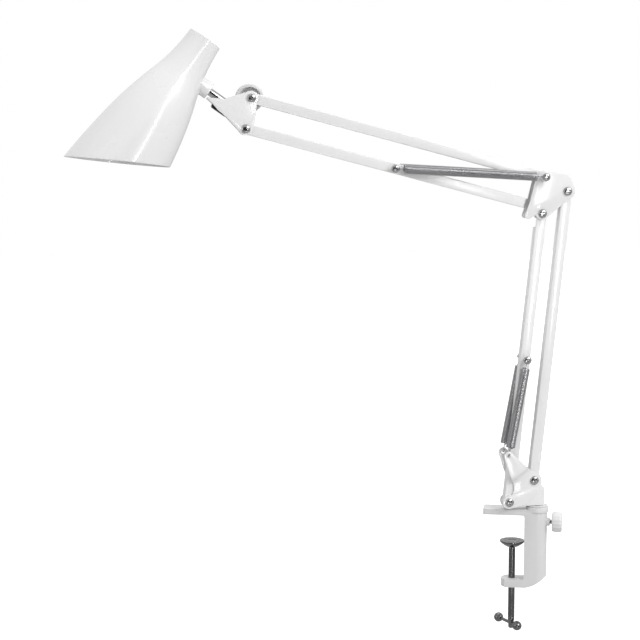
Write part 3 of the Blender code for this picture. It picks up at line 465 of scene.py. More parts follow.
def wire(points: Sequence[Vector], radius: float) -> Solid:
    """A round wire along a line of points, closed at both ends."""
    curve = bpy.data.curves.new("wire", "CURVE")
    curve.dimensions = "3D"
    curve.bevel_depth = radius
    curve.bevel_resolution = 1
    curve.use_fill_caps = True
    spline = curve.splines.new("POLY")
    spline.points.add(len(points) - 1)
    for target, point in zip(spline.points, points):
        target.co = (*point, 1.0)
    scratch = bpy.data.objects.new("wire", curve)
    bpy.context.scene.collection.objects.link(scratch)
    result = bmesh.new()
    mesh = bpy.data.meshes.new_from_object(scratch.evaluated_get(bpy.context.evaluated_depsgraph_get()))
    result.from_mesh(mesh)
    bpy.data.meshes.remove(mesh)
    bpy.data.objects.remove(scratch)
    bpy.data.curves.remove(curve)
    return sealed(result)


def flipped(solid: Solid) -> Solid:
    """The same solid on the other side of the arm's plane."""
    bmesh.ops.scale(solid, vec=(1.0, -1.0, 1.0), verts=solid.verts)
    bmesh.ops.recalc_face_normals(solid, faces=solid.faces)
    return solid


# ---------------------------------------------------------------- places and the workshop

class Side(Enum):
    """Which side of the arm a doubled piece is on."""

    NEAR = "near"
    FAR = "far"


class Places:
    """Where the CAD's joints are, in millimetres in the row frame."""

    def __init__(self, joints: list[dict]) -> None:
        """Reads every pivot that the lamp's pieces are placed by.

        Args:
            joints: The frame's joints; those that slide have no place of their own.
        """
        spot = {joint["name"]: Vector(joint["pos_m"]) / MM for joint in joints if "pos_m" in joint}
        self.post = spot["base_swivel"].to_2d().to_3d()
        self.base_rear = spot["lower_arm"]
        self.base_front = spot["lower_front_link"]
        self.elbow_rear = spot["elbow_level"]
        self.elbow_top = spot["upper_arm"]
        self.elbow_bottom = spot["upper_bottom_link"]
        self.head_top = spot["head_level"]
        self.stem_pivot = spot["shade_tilt"]
        self.shade = spot["shade_roll"]
        self.elbow_front = self.base_front + self.elbow_rear - self.base_rear
        self.head_bottom = self.elbow_bottom + self.head_top - self.elbow_top
        self.yaw = math.atan2(self.post.y, self.post.x)
        self.tilt = math.atan2(self.shade.z - self.stem_pivot.z, self.stem_pivot.x - self.shade.x)

    @staticmethod
    def step(start: Vector, end: Vector) -> Vector:
        """The (x, z) step between two pivots."""
        return Vector((end.x - start.x, end.z - start.z))

    @staticmethod
    def along(start: Vector, end: Vector) -> Matrix:
        """Places local +X on the line between two pivots, with Y kept across the arm."""
        angle = math.atan2(end.z - start.z, end.x - start.x)
        return Matrix.Translation(start) @ Matrix.Rotation(-angle, 4, "Y")

    def clamp(self) -> Matrix:
        """The clamp's own frame: origin on the post's axis, jaws along -X."""
        return Matrix.Translation(self.post) @ Matrix.Rotation(self.yaw, 4, "Z")

    def shade_frame(self) -> Matrix:
        """The shade's own frame: +Z up its axis, +X along the stem towards the arm."""
        return Matrix.Translation(self.shade) @ Matrix.Rotation(self.tilt, 4, "Y")


class Workshop:
    """Turns solids into finished pieces that ride on the CAD's bodies."""

    def __init__(self, frame: dict) -> None:
        """Takes the pivots and the CAD nodes from the frame.

        Args:
            frame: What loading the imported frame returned.
        """
        self.places = Places(frame["joints"])
        self.nodes = frame["nodes"]
        self.paint = PaintShop()
        self.count = 0

    def make(self, name: str, solid: Solid, finish: Finish, place: Matrix,
             sharp: float = 35.0) -> bpy.types.Object:
        """Makes an object at the origin from a solid in millimetres.

        Args:
            name: The piece's name.
            solid: The mesh, which is used up.
            finish: What it is finished with.
            place: Where the solid goes in the row frame, in millimetres.
            sharp: Edges steeper than this many degrees stay sharp.

        Returns:
            The object, not yet riding on a body.
        """
        bmesh.ops.transform(solid, matrix=Matrix.Scale(MM, 4) @ place, verts=solid.verts)
        mesh = bpy.data.meshes.new(name)
        solid.to_mesh(mesh)
        solid.free()
        mesh.materials.append(self.paint.material(finish))
        mesh.shade_smooth()
        mesh.set_sharp_from_angle(angle=math.radians(sharp))
        piece = bpy.data.objects.new(name, mesh)
        bpy.context.scene.collection.objects.link(piece)
        self.count += 1
        return piece

    def fit(self, name: str, solid: Solid, finish: Finish, place: Matrix, body: str,
            *nodes: str, sharp: float = 35.0) -> bpy.types.Object:
        """Makes a piece, lets it ride on a body and stand for CAD nodes.

        Args:
            name: The piece's name.
            solid: The mesh, which is used up.
            finish: What it is finished with.
            place: Where the solid goes, in millimetres.
            body: The CAD body it rides on.
            nodes: The CAD nodes it stands for.
            sharp: Edges steeper than this many degrees stay sharp.

        Returns:
            The finished piece.
        """
        piece = self.make(name, solid, finish, place, sharp)
        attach(piece, body)
        if nodes:
            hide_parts(*nodes)
        LOG.info("%s rides on %s", name, body)
        return piece

    def keep(self, finish: Finish, *nodes: str) -> None:
        """Lets CAD nodes show as they are, in one of the scene's finishes."""
        for node in nodes:
            mesh = self.nodes[node].data
            mesh.materials.clear()
            mesh.materials.append(self.paint.material(finish))


# ---------------------------------------------------------------- fasteners

@dataclass(frozen=True)
class Fasteners:
    """Sizes of the screws and domed nuts across the arm, and how they are built."""

    shank: float = 2.0
    head: float = 5.2
    rise: float = 2.6
    gap: float = 0.3
    nut: float = 4.4
    nut_rise: float = 5.2
    nut_depth: float = 3.6

    def screw(self, face: float, head: float, far: float) -> Solid:
        """A pan-head screw along Y with a cross recess.

        Args:
            face: Distance of the near face from the arm's plane.
            head: Radius of the head.
            far: Distance of the far face that the nut sits on.

        Returns:
            The screw, with its head on -Y.
        """
        seat = -(face + self.gap)
        crown = seat - self.rise
        end = far + self.nut_depth
        dome = [(head * math.sin(t), seat - self.rise * (0.22 + 0.78 * math.cos(t)))
                for t in (math.radians(a) for a in (10, 25, 40, 55, 70, 82, 90))]
        profile = [(0.0, crown), *dome, (head, seat), (self.shank, seat), (self.shank, end - 0.5),
                   (self.shank - 0.5, end), (0.0, end)]
        solid = spun(profile, 40, "Y")
        reach, width, depth = head * 0.5, head * 0.1, self.rise * 0.5
        cross = [(width, -reach), (width, -width), (reach, -width), (reach, width), (width, width),
                 (width, reach), (-width, reach), (-width, width), (-reach, width),
                 (-reach, -width), (-width, -width), (-width, -reach)]
        return cut(solid, plate(cross, crown - 1.0, crown + depth))

    def cap_nut(self, face: float) -> Solid:
        """A hexagon with a dome over its blind end."""
        seat = face + self.gap
        flats = self.nut_rise * 0.56
        hexagon = arc((0.0, 0.0), self.nut, 0.0, 300.0, 5)
        hexed = plate(hexagon, seat, seat + flats, 0.35)
        dome = [(0.0, seat + flats * 0.5), (self.nut * 0.8, seat + flats * 0.5)]
        dome += [(self.nut * 0.8 * math.cos(t), seat + flats + (self.nut_rise - flats) * math.sin(t))
                 for t in (math.radians(a) for a in range(0, 90, 15))]
        dome.append((0.0, seat + self.nut_rise))
        return together(hexed, spun(dome, 32, "Y"))

    def pivot(self, shop: Workshop, name: str, at: Vector, body: str, face: float,
              head: float) -> None:
        """Builds and fits one screw and its nut at a pivot."""
        place = Matrix.Translation(at)
        shop.fit(name + "_screw_head", self.screw(face, head, face), STEEL, place, body, name + "_screw")
        shop.fit(name + "_cap_nut", self.cap_nut(face), STEEL, place, body, name + "_nut")


PLATE_INNER = 6.4
PLATE_OUTER = 7.9
FASTENERS = Fasteners()


# ---------------------------------------------------------------- clamp

@dataclass(frozen=True)
class ClampAssembly:
    """The screw clamp: casting, spindle, pad, tommy bar and post lock."""

    width: float = 24.0
    reach: float = 64.0
    jaw: float = 7.0
    boss_height: float = 10.0
    boss_radius: float = 13.6
    spine_front: float = 14.5
    opening: float = 79.0
    lower_jaw: float = 9.5
    heel: float = 14.0
    spindle_x: float = -29.3
    spindle_radius: float = 4.0
    spindle_end: float = 141.8
    pitch: float = 1.25
    pad_radius: float = 14.8
    pad_height: float = 7.6
    pad_top: float = 33.0
    tommy_depth: float = 135.8
    tommy_radius: float = 1.9
    tommy_front: float = 13.0
    tommy_rear: float = 28.0
    tommy_ball: float = 5.8
    tommy_turn: float = 35.6
    lock_depth: float = 8.8
    lock_radius: float = 2.8
    knob_start: float = 17.9
    knob_length: float = 12.0
    knob_radius: float = 12.4
    lobes: int = 16
    lobe_depth: float = 0.018
    post_bore: float = 6.3
    post_depth: float = 27.3
    spindle_bore: float = 4.3
    lock_boss: float = 5.0
    lock_thread: float = 0.4
    lock_start: float = 6.3
    pad_bore: float = 3.5

    def casting(self) -> Solid:
        """The C-shaped casting with rounded edges, a post boss and a lock boss."""
        half = self.width / 2
        beyond = self.reach + self.width
        top, bottom = -self.opening, -self.opening - self.lower_jaw
        outline = arc((0.0, 0.0), half, -90.0, 90.0, 24)
        outline += arc((-self.reach + 3.0, half - 3.0), 3.0, 90.0, 180.0, 5)
        outline += arc((-self.reach + 3.0, -half + 3.0), 3.0, 180.0, 270.0, 5)
        body = plate(outline, bottom, self.jaw, flat=True)
        throat_plan = softened([(-beyond, top), (-self.spine_front, top), (-self.spine_front, 0.0),
                                (-beyond, 0.0)], 3.0, steps=5)
        end_radius = half * 1.08
        end_angle = math.degrees(math.acos(half * 0.9 / end_radius)) + 6.0
        end = arc((self.spindle_x, 0.0), end_radius, 90.0 + end_angle, 270.0 - end_angle, 20)
        plan = [(-beyond, self.width), (end[0][0], self.width), *end, (end[-1][0], -self.width),
                (-beyond, -self.width)]
        heel = [(-self.spine_front + (half + self.spine_front) * s, bottom + self.heel * s ** 1.7)
                for s in (index / 12 for index in range(13))]
        heel = heel[1:] + [(half + 12.0, bottom + self.heel * 1.3), (half + 12.0, bottom - 12.0),
                           (-self.spine_front, bottom - 12.0)]
        body = cut(body, plate(throat_plan, -self.width, self.width),
                   plate(plan, bottom - 12.0, top / 2, flat=True),
                   plate(heel, -self.width, self.width))
        body = eased(body, 0.9)
        boss = turned([(0.0, self.jaw / 2), (self.boss_radius, self.jaw / 2),
                       (self.boss_radius, self.boss_height), (0.0, self.boss_height)], 0.9, 64)
        lock = turned([(0.0, 7.0), (self.lock_boss, 7.0), (self.lock_boss, 15.4), (0.0, 15.4)],
                      0.6, 32, "X", (0.0, 0.0, -self.lock_depth))
        body = join(body, boss, lock)
        over = self.boss_height + 0.3
        post = spun([(0.0, -self.post_depth), (self.post_bore, -self.post_depth),
                     (self.post_bore, over), (0.0, over)], 40)
        bore = spun([(0.0, bottom - 1.0), (self.spindle_bore, bottom - 1.0),
                     (self.spindle_bore, top + 1.0), (0.0, top + 1.0)],
                    32, start=(self.spindle_x, 0.0, 0.0))
        return cut(body, post, bore)

    def spindle(self) -> Solid:
        """The threaded spindle with a plain neck and a turned tail."""
        low, high = -self.tommy_depth + 8.0, -self.pad_top - self.pad_height - 2.0
        root, crest = self.spindle_radius - 0.28, self.spindle_radius
        turns = int((high - low) / self.pitch) + 3
        thread = bmesh.new()
        shares = ((0.0, root), (0.12, root), (0.26, crest), (0.86, crest), (1.0, root))
        verts = [thread.verts.new((radius, 0.0, low - self.pitch + share * self.pitch))
                 for share, radius in shares]
        edges = [thread.edges.new(pair) for pair in zip(verts, verts[1:])]
        steps = 20
        bmesh.ops.spin(thread, geom=verts + edges, cent=ORIGIN, axis=UP,
                       dvec=(0.0, 0.0, self.pitch / steps), angle=math.tau * turns,
                       steps=steps * turns, use_merge=False)
        bmesh.ops.remove_doubles(thread, verts=thread.verts, dist=1e-4)
        for height, normal in ((low, (0.0, 0.0, -1.0)), (high, UP)):
            geometry = [*thread.verts, *thread.edges, *thread.faces]
            bmesh.ops.bisect_plane(thread, geom=geometry, dist=MERGE, plane_co=(0.0, 0.0, height),
                                   plane_no=normal, clear_outer=True)
            rim = [e for e in thread.edges if e.is_boundary and abs(e.verts[0].co.z - height) < 1e-3]
            bmesh.ops.edgenet_fill(thread, edges=rim)
        bmesh.ops.recalc_face_normals(thread, faces=thread.faces)
        neck = turned([(0.0, high - 0.6), (root + 0.2, high - 0.6), (3.2, high + 1.7),
                       (3.2, high + 3.9), (2.8, high + 5.0), (0.0, high + 5.0)], 0.3, 32)
        waist, bar, foot = crest * 0.85, -self.tommy_depth, -self.spindle_end
        tail = turned([(0.0, low + 0.6), (crest - 0.7, low + 0.6), (crest, low - 0.2),
                       (crest, bar + 3.6), (waist, bar + 3.0), (waist, foot + 1.2),
                       (2.2, foot), (0.0, foot)], 0.5, 32)
        return together(thread, neck, tail)

    def pad(self) -> Solid:
        """The dished pressure pad: a flat grooved face over a conical underside."""
        top, bottom = -self.pad_top, -self.pad_top - self.pad_height
        r = self.pad_radius
        profile = [(0.0, top - 0.5), (r * 0.34, top - 0.5), (r * 0.36, top), (r * 0.62, top),
                   (r * 0.63, top - 0.35), (r * 0.66, top - 0.35), (r * 0.67, top), (r, top),
                   (r, top - self.pad_height * 0.2), (r * 0.88, top - self.pad_height * 0.45),
                   (r * 0.66, top - self.pad_height * 0.76), (r * 0.45, bottom),
                   (self.pad_bore, bottom), (self.pad_bore, top - 3.8), (0.0, top - 3.8)]
        return turned(profile, 0.35, 64)

    def ball(self, centre: float, inward: float) -> Solid:
        """An end knob with a short collar where the rod enters."""
        r = self.tommy_ball
        profile = [(0.0, r * 1.1), (2.6, r * 1.1), (2.8, r * 0.98)]
        profile += [(r * math.sin(t), r * math.cos(t)) for t in
                    (math.radians(a) for a in range(34, 180, 9))]
        profile.append((0.0, -r))
        return spun([(radius, height * inward) for radius, height in profile], 40, "Y",
                    (0.0, centre, 0.0))

    def lock_knob(self) -> Solid:
        """The lobed hand knob, hollowed on its outer face."""
        start, r = self.knob_start, self.knob_radius
        end = start + self.knob_length
        profile = [(0.0, start + 0.4), (4.6, start + 0.4), (5.0, start), (r * 0.92, start),
                   (r, start + 3.4), (r, end - 3.4), (r * 0.93, end), (r * 0.7, end),
                   (r * 0.64, end - 1.0), (0.0, end - 1.0)]
        solid = fluted(turned(profile, 1.4, 96, corner_steps=4), r * 0.8, self.lobe_depth, self.lobes)
        return laid(solid, "X", (0.0, 0.0, -self.lock_depth))

    def tommy_rod(self) -> Solid:
        """The sliding rod, its ends sunk in the two end knobs."""
        inset = self.tommy_ball * 0.3
        front, rear = -self.tommy_front + inset, self.tommy_rear - inset
        return turned([(0.0, front), (self.tommy_radius, front), (self.tommy_radius, rear),
                       (0.0, rear)], 0.4, 32, "Y")

    def lock_screw(self) -> Solid:
        """The lock screw with its ridges, from the post to inside the hand knob."""
        crest = self.lock_radius
        root, first = crest - self.lock_thread, self.lock_start + 0.3
        profile = [(0.0, self.lock_start), (root, self.lock_start)]
        count = int(self.knob_start + 7.0 - first)
        for at in (first + index for index in range(count)):
            profile += [(root, at), (crest, at + 0.35), (crest, at + 0.6), (root, at + 0.95)]
        profile.append((0.0, first + count))
        return spun(profile, 28, "X", (0.0, 0.0, -self.lock_depth))

    def build(self, shop: Workshop) -> None:
        """Fits every piece of the clamp."""
        place = shop.places.clamp()
        shop.fit("clamp_casting", self.casting(), CAST, place, "clamp", "clamp_body", sharp=50.0)
        axis = place @ Matrix.Translation((self.spindle_x, 0.0, 0.0))
        # The spindle, pad and tommy bar wear the darkened steel, whose base colour paints in dark
        # reflections.
        shop.fit("threaded_spindle", self.spindle(), SPINDLE, axis, "spindle", "clamp_spindle")
        shop.fit("dished_pad", self.pad(), SPINDLE, axis, "pad", "pressure_pad")
        bar = axis @ Matrix.Translation((0.0, 0.0, -self.tommy_depth)) @ Matrix.Rotation(
            math.radians(self.tommy_turn), 4, "Z")
        shop.fit("tommy_bar_rod", self.tommy_rod(), SPINDLE, bar, "tommy_bar", "tommy_rod")
        for end, spot, inward in (("front", -self.tommy_front, 1.0), ("rear", self.tommy_rear, -1.0)):
            shop.fit(f"tommy_bar_knob_{end}", self.ball(spot, inward), SPINDLE, bar, "tommy_bar",
                     f"tommy_ball_{end}")
        shop.fit("lock_screw_thread", self.lock_screw(), STEEL, place, "lock_screw",
                 "post_lock_screw")
        shop.fit("lock_hand_knob", self.lock_knob(), KNOB, place, "lock_screw", "post_lock_knob")


# ---------------------------------------------------------------- base bracket

@dataclass(frozen=True)
class BaseBracket:
    """The swivelling bracket: two eared plates round a core on a post."""

    core_back: float = 6.6
    core_front: float = 15.0
    core_top: float = 33.0
    bottom: float = 12.3
    ear: float = 5.6
    ear_x: float = -33.3
    ear_z: float = 31.2
    bend: float = 37.3
    bend_start: float = 50.0
    bend_end: float = 59.0
    spring_y: float = 13.9
    ear_hole: float = 2.0
    fold_lines: int = 8
    eye: float = 9.0
    toe: float = 8.0
    pin: float = 6.0
    groove: float = 5.4
    washer_hole: float = 6.3
    washer: float = 12.4

    def outline(self, rear: Vector, front: Vector) -> list[Point2]:
        """Side view of a plate, from the post's axis."""
        ear = (rear[0] + self.ear_x, rear[1] + self.ear_z)
        points = [(self.core_back, self.bottom), (self.core_back, rear[1] - self.eye),
                  (rear[0] + self.eye, rear[1] - 6.0)]
        points += arc(rear, self.eye, 0.0, 70.0, 12)
        points += [(rear[0] - 6.6, rear[1] + 14.4), (rear[0] - 13.3, rear[1] + 19.4),
                   (rear[0] - 17.8, rear[1] + 24.4)]
        points += arc(ear, self.ear, 45.0, 200.0, 18)
        points += [(front[0] - 1.1, front[1] + 32.6), (front[0] + 3.4, front[1] + 26.0),
                   (front[0] + 5.1, front[1] + 20.0), (front[0] + 5.2, front[1] + 12.0)]
        points += arc(front, self.toe, 80.0, 285.0, 28)
        points.append((front[0] + 14.0, self.bottom))
        return softened(points, 3.0)

    def eared_plate(self, rear: Vector, front: Vector) -> Solid:
        """The near plate, its ear set outwards by a smooth double bend."""
        solid = plate(self.outline(rear, front), -PLATE_OUTER, -PLATE_INNER, 0.35)
        ear = (rear[0] + self.ear_x, rear[1] + self.ear_z)
        hole = arc(ear, self.ear_hole, 0.0, 345.0, 23)
        solid = cut(solid, plate(hole, -PLATE_OUTER - 2.0, -PLATE_INNER + 2.0))
        angle = math.radians(self.bend) + math.pi / 2
        normal = Vector((math.cos(angle), 0.0, math.sin(angle)))
        width = self.bend_end - self.bend_start
        for index in range(self.fold_lines + 1):
            distance = self.bend_start + width * index / self.fold_lines
            geometry = [*solid.verts, *solid.edges, *solid.faces]
            bmesh.ops.bisect_plane(solid, geom=geometry, dist=MERGE, plane_co=normal * distance,
                                   plane_no=normal)
        offset = self.spring_y - (PLATE_INNER + PLATE_OUTER) / 2
        for vert in solid.verts:
            share = min(1.0, max(0.0, (normal.dot(vert.co) - self.bend_start) / width))
            vert.co.y -= offset * share * share * (3.0 - 2.0 * share)
        return solid

    def core(self) -> Solid:
        """The folded core between the plates, with rounded top corners."""
        half = PLATE_INNER - 0.3
        side = softened([(-self.core_front, self.bottom), (self.core_back, self.bottom),
                         (self.core_back, self.core_top), (-self.core_front, self.core_top)], 1.6)
        return plate(side, -half, half, 0.5)

    def swivel_pin(self) -> Solid:
        """The steel pin that turns in the clamp, with a groove for the lock screw."""
        high = self.bottom + 1.0
        return turned([(0.0, -27.0), (5.2, -27.0), (self.pin, -26.0), (self.pin, -14.5),
                       (self.groove, -14.0), (self.groove, -11.0), (self.pin, -10.5),
                       (self.pin, high), (0.0, high)], 0.3)

    def build(self, shop: Workshop) -> None:
        """Fits every piece of the base bracket."""
        places = shop.places
        at = Matrix.Translation(places.post)
        rear = places.step(places.post, places.base_rear)
        front = places.step(places.post, places.base_front)
        shop.fit("base_side_near", self.eared_plate(rear, front), ENAMEL, at, "base", "base_plate_near")
        shop.fit("base_side_far", flipped(self.eared_plate(rear, front)), ENAMEL, at, "base",
                 "base_plate_far")
        shop.fit("bracket_core", self.core(), ENAMEL, at, "base", "swivel_post")
        shop.fit("swivel_pin", self.swivel_pin(), STEEL, at, "base", "swivel_post")
        washer = softened([(self.washer_hole, 10.3), (self.washer, 10.3), (self.washer, 11.7),
                           (self.washer_hole, 11.7)], 0.4)
        shop.fit("post_washer_ring", spun(washer, 64), KNOB, at, "base", "post_washer")
        for name, place in (("base_rear", places.base_rear), ("base_front", places.base_front)):
            FASTENERS.pivot(shop, name, place, "base", PLATE_OUTER, FASTENERS.head)


# ---------------------------------------------------------------- arms

@dataclass(frozen=True)
class Bar:
    """A square tube between two pivots, with round ends and softened long edges."""

    size: float = 12.0
    wall: float = 1.0
    corner: float = 1.0
    tab_length: float = 17.0
    tab: float = 2.6
    tab_radius: float = 6.0

    def build(self, length: float, tab_side: int = 0) -> Solid:
        """The bar along local +X.

        Args:
            length: Pivot to pivot.
            tab_side: 0 for a plain bar; -1 or 1 flattens its far end onto that wall.

        Returns:
            A closed, hollow solid.
        """
        half = self.size / 2
        end = length - self.tab_length if tab_side else length
        outline = arc((0.0, 0.0), half, 90.0, 270.0, 20)
        outline += [(end, -half), (end, half)] if tab_side else arc((length, 0.0), half, -90.0, 90.0, 20)
        bar = plate(outline, -half, half, self.corner, segments=4)
        inner = half - self.wall
        bar = cut(bar, box((-self.size, -inner, -inner), (length + self.size, inner, inner)))
        if tab_side:
            tongue = [(end - half, half - 0.6), (end - half, -half + 0.6)]
            tongue += arc((length, 0.0), self.tab_radius, -90.0, 90.0, 16)
            walls = sorted((tab_side * half, tab_side * (half - self.tab)))
            bar = join(bar, plate(tongue, walls[0] + 0.01, walls[1] - 0.01, 0.4))
        return bar


@dataclass(frozen=True)
class Spring:
    """A close-wound tension spring with a hook at each end."""

    diameter: float = 11.0
    wire: float = 1.2
    pitch: float = 1.32
    hook: float = 10.0
    loop: float = 2.9
    per_turn: int = 14
    shank: float = 3.0
    spread: float = 1.6

    def build(self, length: float, through_ear: bool) -> Solid:
        """The spring along local +X, hooked round a pin at its start.

        Args:
            length: Pin to pin.
            through_ear: True when the far hook passes through an ear, crosswise.

        Returns:
            One closed wire.
        """
        radius = (self.diameter - self.wire) / 2
        start = self.hook + 0.8
        end = length - start
        points = [Vector((self.loop * math.cos(t), 0.0, self.loop * math.sin(t)))
                  for t in (math.radians(a) for a in range(-300, 1, 15))]
        points += [Vector((self.loop + 1.0, 0.0, 0.0)), Vector((start - self.shank, 0.0, 0.0))]
        turns = (end - start) / self.pitch
        total = int(turns * self.per_turn)
        rise = self.per_turn // 2
        for index in range(-rise, total + rise + 1):
            grow = min(1.0, (index + rise) / rise, (total + rise - index) / rise)
            angle = math.tau * index / self.per_turn
            inside = min(max(index, 0), total)
            x = start + (end - start) * inside / total + self.spread * (index - inside) / rise
            points.append(Vector((x, radius * grow * math.cos(angle), radius * grow * math.sin(angle))))
        points.append(Vector((end + self.shank, 0.0, 0.0)))
        centre = length - self.loop + 0.3 if through_ear else length
        for angle in range(180, -121, -15):
            t = math.radians(angle)
            across = self.loop * math.sin(t)
            place = (0.0, across) if not through_ear else (across, 0.0)
            points.append(Vector((centre + self.loop * math.cos(t), *place)))
        return wire(points, self.wire / 2)


@dataclass(frozen=True)
class Arms:
    """The four bars, their spring bolts and their springs."""

    bar: Bar = Bar()
    spring: Spring = Spring()
    bolt_head: float = 4.9
    lower_bend: tuple[float, float] = (-0.1, 0.75)
    upper_bend: tuple[float, float] = (0.0, 0.2)

    def build(self, shop: Workshop) -> None:
        """Fits both pairs of bars and both pairs of springs."""
        at, bracket = shop.places, BaseBracket()
        lower = at.along(at.base_rear, at.elbow_rear)
        length = (at.elbow_rear - at.base_rear).length
        shop.fit("lower_rear_tube", self.bar.build(length), ENAMEL, lower, "lower_rear", "lower_rear_bar")
        shop.fit("lower_front_tube", self.bar.build(length, -1), ENAMEL,
                 at.along(at.base_front, at.elbow_front), "lower_front", "lower_front_bar")
        upper = (at.head_top - at.elbow_top).length
        shop.fit("upper_top_tube", self.bar.build(upper), ENAMEL, at.along(at.elbow_top, at.head_top),
                 "upper_top", "upper_top_bar")
        shop.fit("upper_bottom_tube", self.bar.build(upper, 1), ENAMEL,
                 at.along(at.head_bottom, at.elbow_bottom), "upper_bottom", "upper_bottom_bar")
        face = bracket.spring_y + self.spring.wire
        ear = at.base_rear + Vector((bracket.ear_x, 0.0, bracket.ear_z))
        low_bolt = (at.base_front + at.elbow_front) / 2
        high_bolt = (at.elbow_bottom + at.head_bottom) / 2
        FASTENERS.pivot(shop, "lower_spring", low_bolt, "lower_front", face, self.bolt_head)
        FASTENERS.pivot(shop, "upper_spring", high_bolt, "upper_bottom", face, self.bolt_head)
        for side, y in ((Side.NEAR, -bracket.spring_y), (Side.FAR, bracket.spring_y)):
            self._stretch(shop, "lower", side, y, low_bolt, ear)
            self._stretch(shop, "upper", side, y, high_bolt, at.elbow_top)

    def _stretch(self, shop: Workshop, arm: str, side: Side, y: float, bolt: Vector,
                 anchor: Vector) -> None:
        """Fits one spring between its bolt and its anchor."""
        shift = Vector((0.0, y, 0.0))
        place = shop.places.along(bolt + shift, anchor + shift)
        lower = arm == "lower"
        solid = self.spring.build((anchor - bolt).length, lower)
        coil = shop.make(f"{arm}_coil_{side.value}", solid, SPRING, place, sharp=60.0)
        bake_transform(coil)
        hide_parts(f"{arm}_spring_{side.value}")


# ---------------------------------------------------------------- elbow

@dataclass(frozen=True)
class Elbow:
    """The two plates that join the arms, with their screws."""

    edge: float = 0.35
    crease: float = 0.45

    def outline(self, top: Vector, front: Vector) -> list[Point2]:
        """Side view of a plate, from the rear lower pivot."""
        points = arc((0.0, 0.0), 9.0, -75.0, 25.0, 12)
        points += [(6.1, 9.6), (-0.2, top[1] + 3.3), (top[0] + 7.3, top[1] + 5.6)]
        points += arc(top, 8.0, 60.0, 160.0, 12)
        points += [(top[0] - 11.4, top[1] - 5.8), (front[0] - 14.8, front[1] + 15.5),
                   (front[0] - 20.6, front[1] - 0.6)]
        points += arc((front[0] - 17.2, front[1] - 2.6), 3.8, 170.0, 320.0, 14)
        points.append((front[0] - 9.0, front[1] - 2.0))
        points += arc(front, 7.5, 200.0, 330.0, 14)
        points += [(front[0] + 14.0, front[1] + 2.6), (-7.3, -16.8), (-1.0, -12.0)]
        return softened(points, 2.2)

    def side(self, top: Vector, front: Vector) -> Solid:
        """The near plate with a short pressed crease."""
        solid = plate(self.outline(top, front), -PLATE_OUTER, -PLATE_INNER, self.edge)
        start = Vector((front[0] - 7.6, 0.0, front[1] + 14.5))
        end = Vector((front[0] + 1.4, 0.0, front[1] + 21.8))
        run = (end - start).length
        wedge = softened([(0.0, -0.7), (run, -0.35), (run, 0.35), (0.0, 0.7)], 0.3)
        crease = plate(wedge, -PLATE_OUTER - 1.0, -PLATE_OUTER + self.crease)
        bmesh.ops.transform(crease, matrix=Places.along(start, end), verts=crease.verts)
        return cut(solid, crease)

    def build(self, shop: Workshop) -> None:
        """Fits every piece of the elbow."""
        at = shop.places
        place = Matrix.Translation(at.elbow_rear)
        top, front = at.step(at.elbow_rear, at.elbow_top), at.step(at.elbow_rear, at.elbow_front)
        shop.fit("elbow_side_near", self.side(top, front), ENAMEL, place, "elbow", "elbow_plate_near")
        shop.fit("elbow_side_far", flipped(self.side(top, front)), ENAMEL, place, "elbow",
                 "elbow_plate_far")
        for name, spot in (("elbow_rear", at.elbow_rear), ("elbow_front", at.elbow_front)):
            FASTENERS.pivot(shop, name, spot, "elbow", PLATE_OUTER, FASTENERS.head)
        bracket, arms = BaseBracket(), Arms()
        FASTENERS.pivot(shop, "elbow_spring", at.elbow_top, "elbow",
                        bracket.spring_y + arms.spring.wire, arms.bolt_head)
        shop.keep(ENAMEL, "elbow_bottom_pin")


# ---------------------------------------------------------------- head bracket

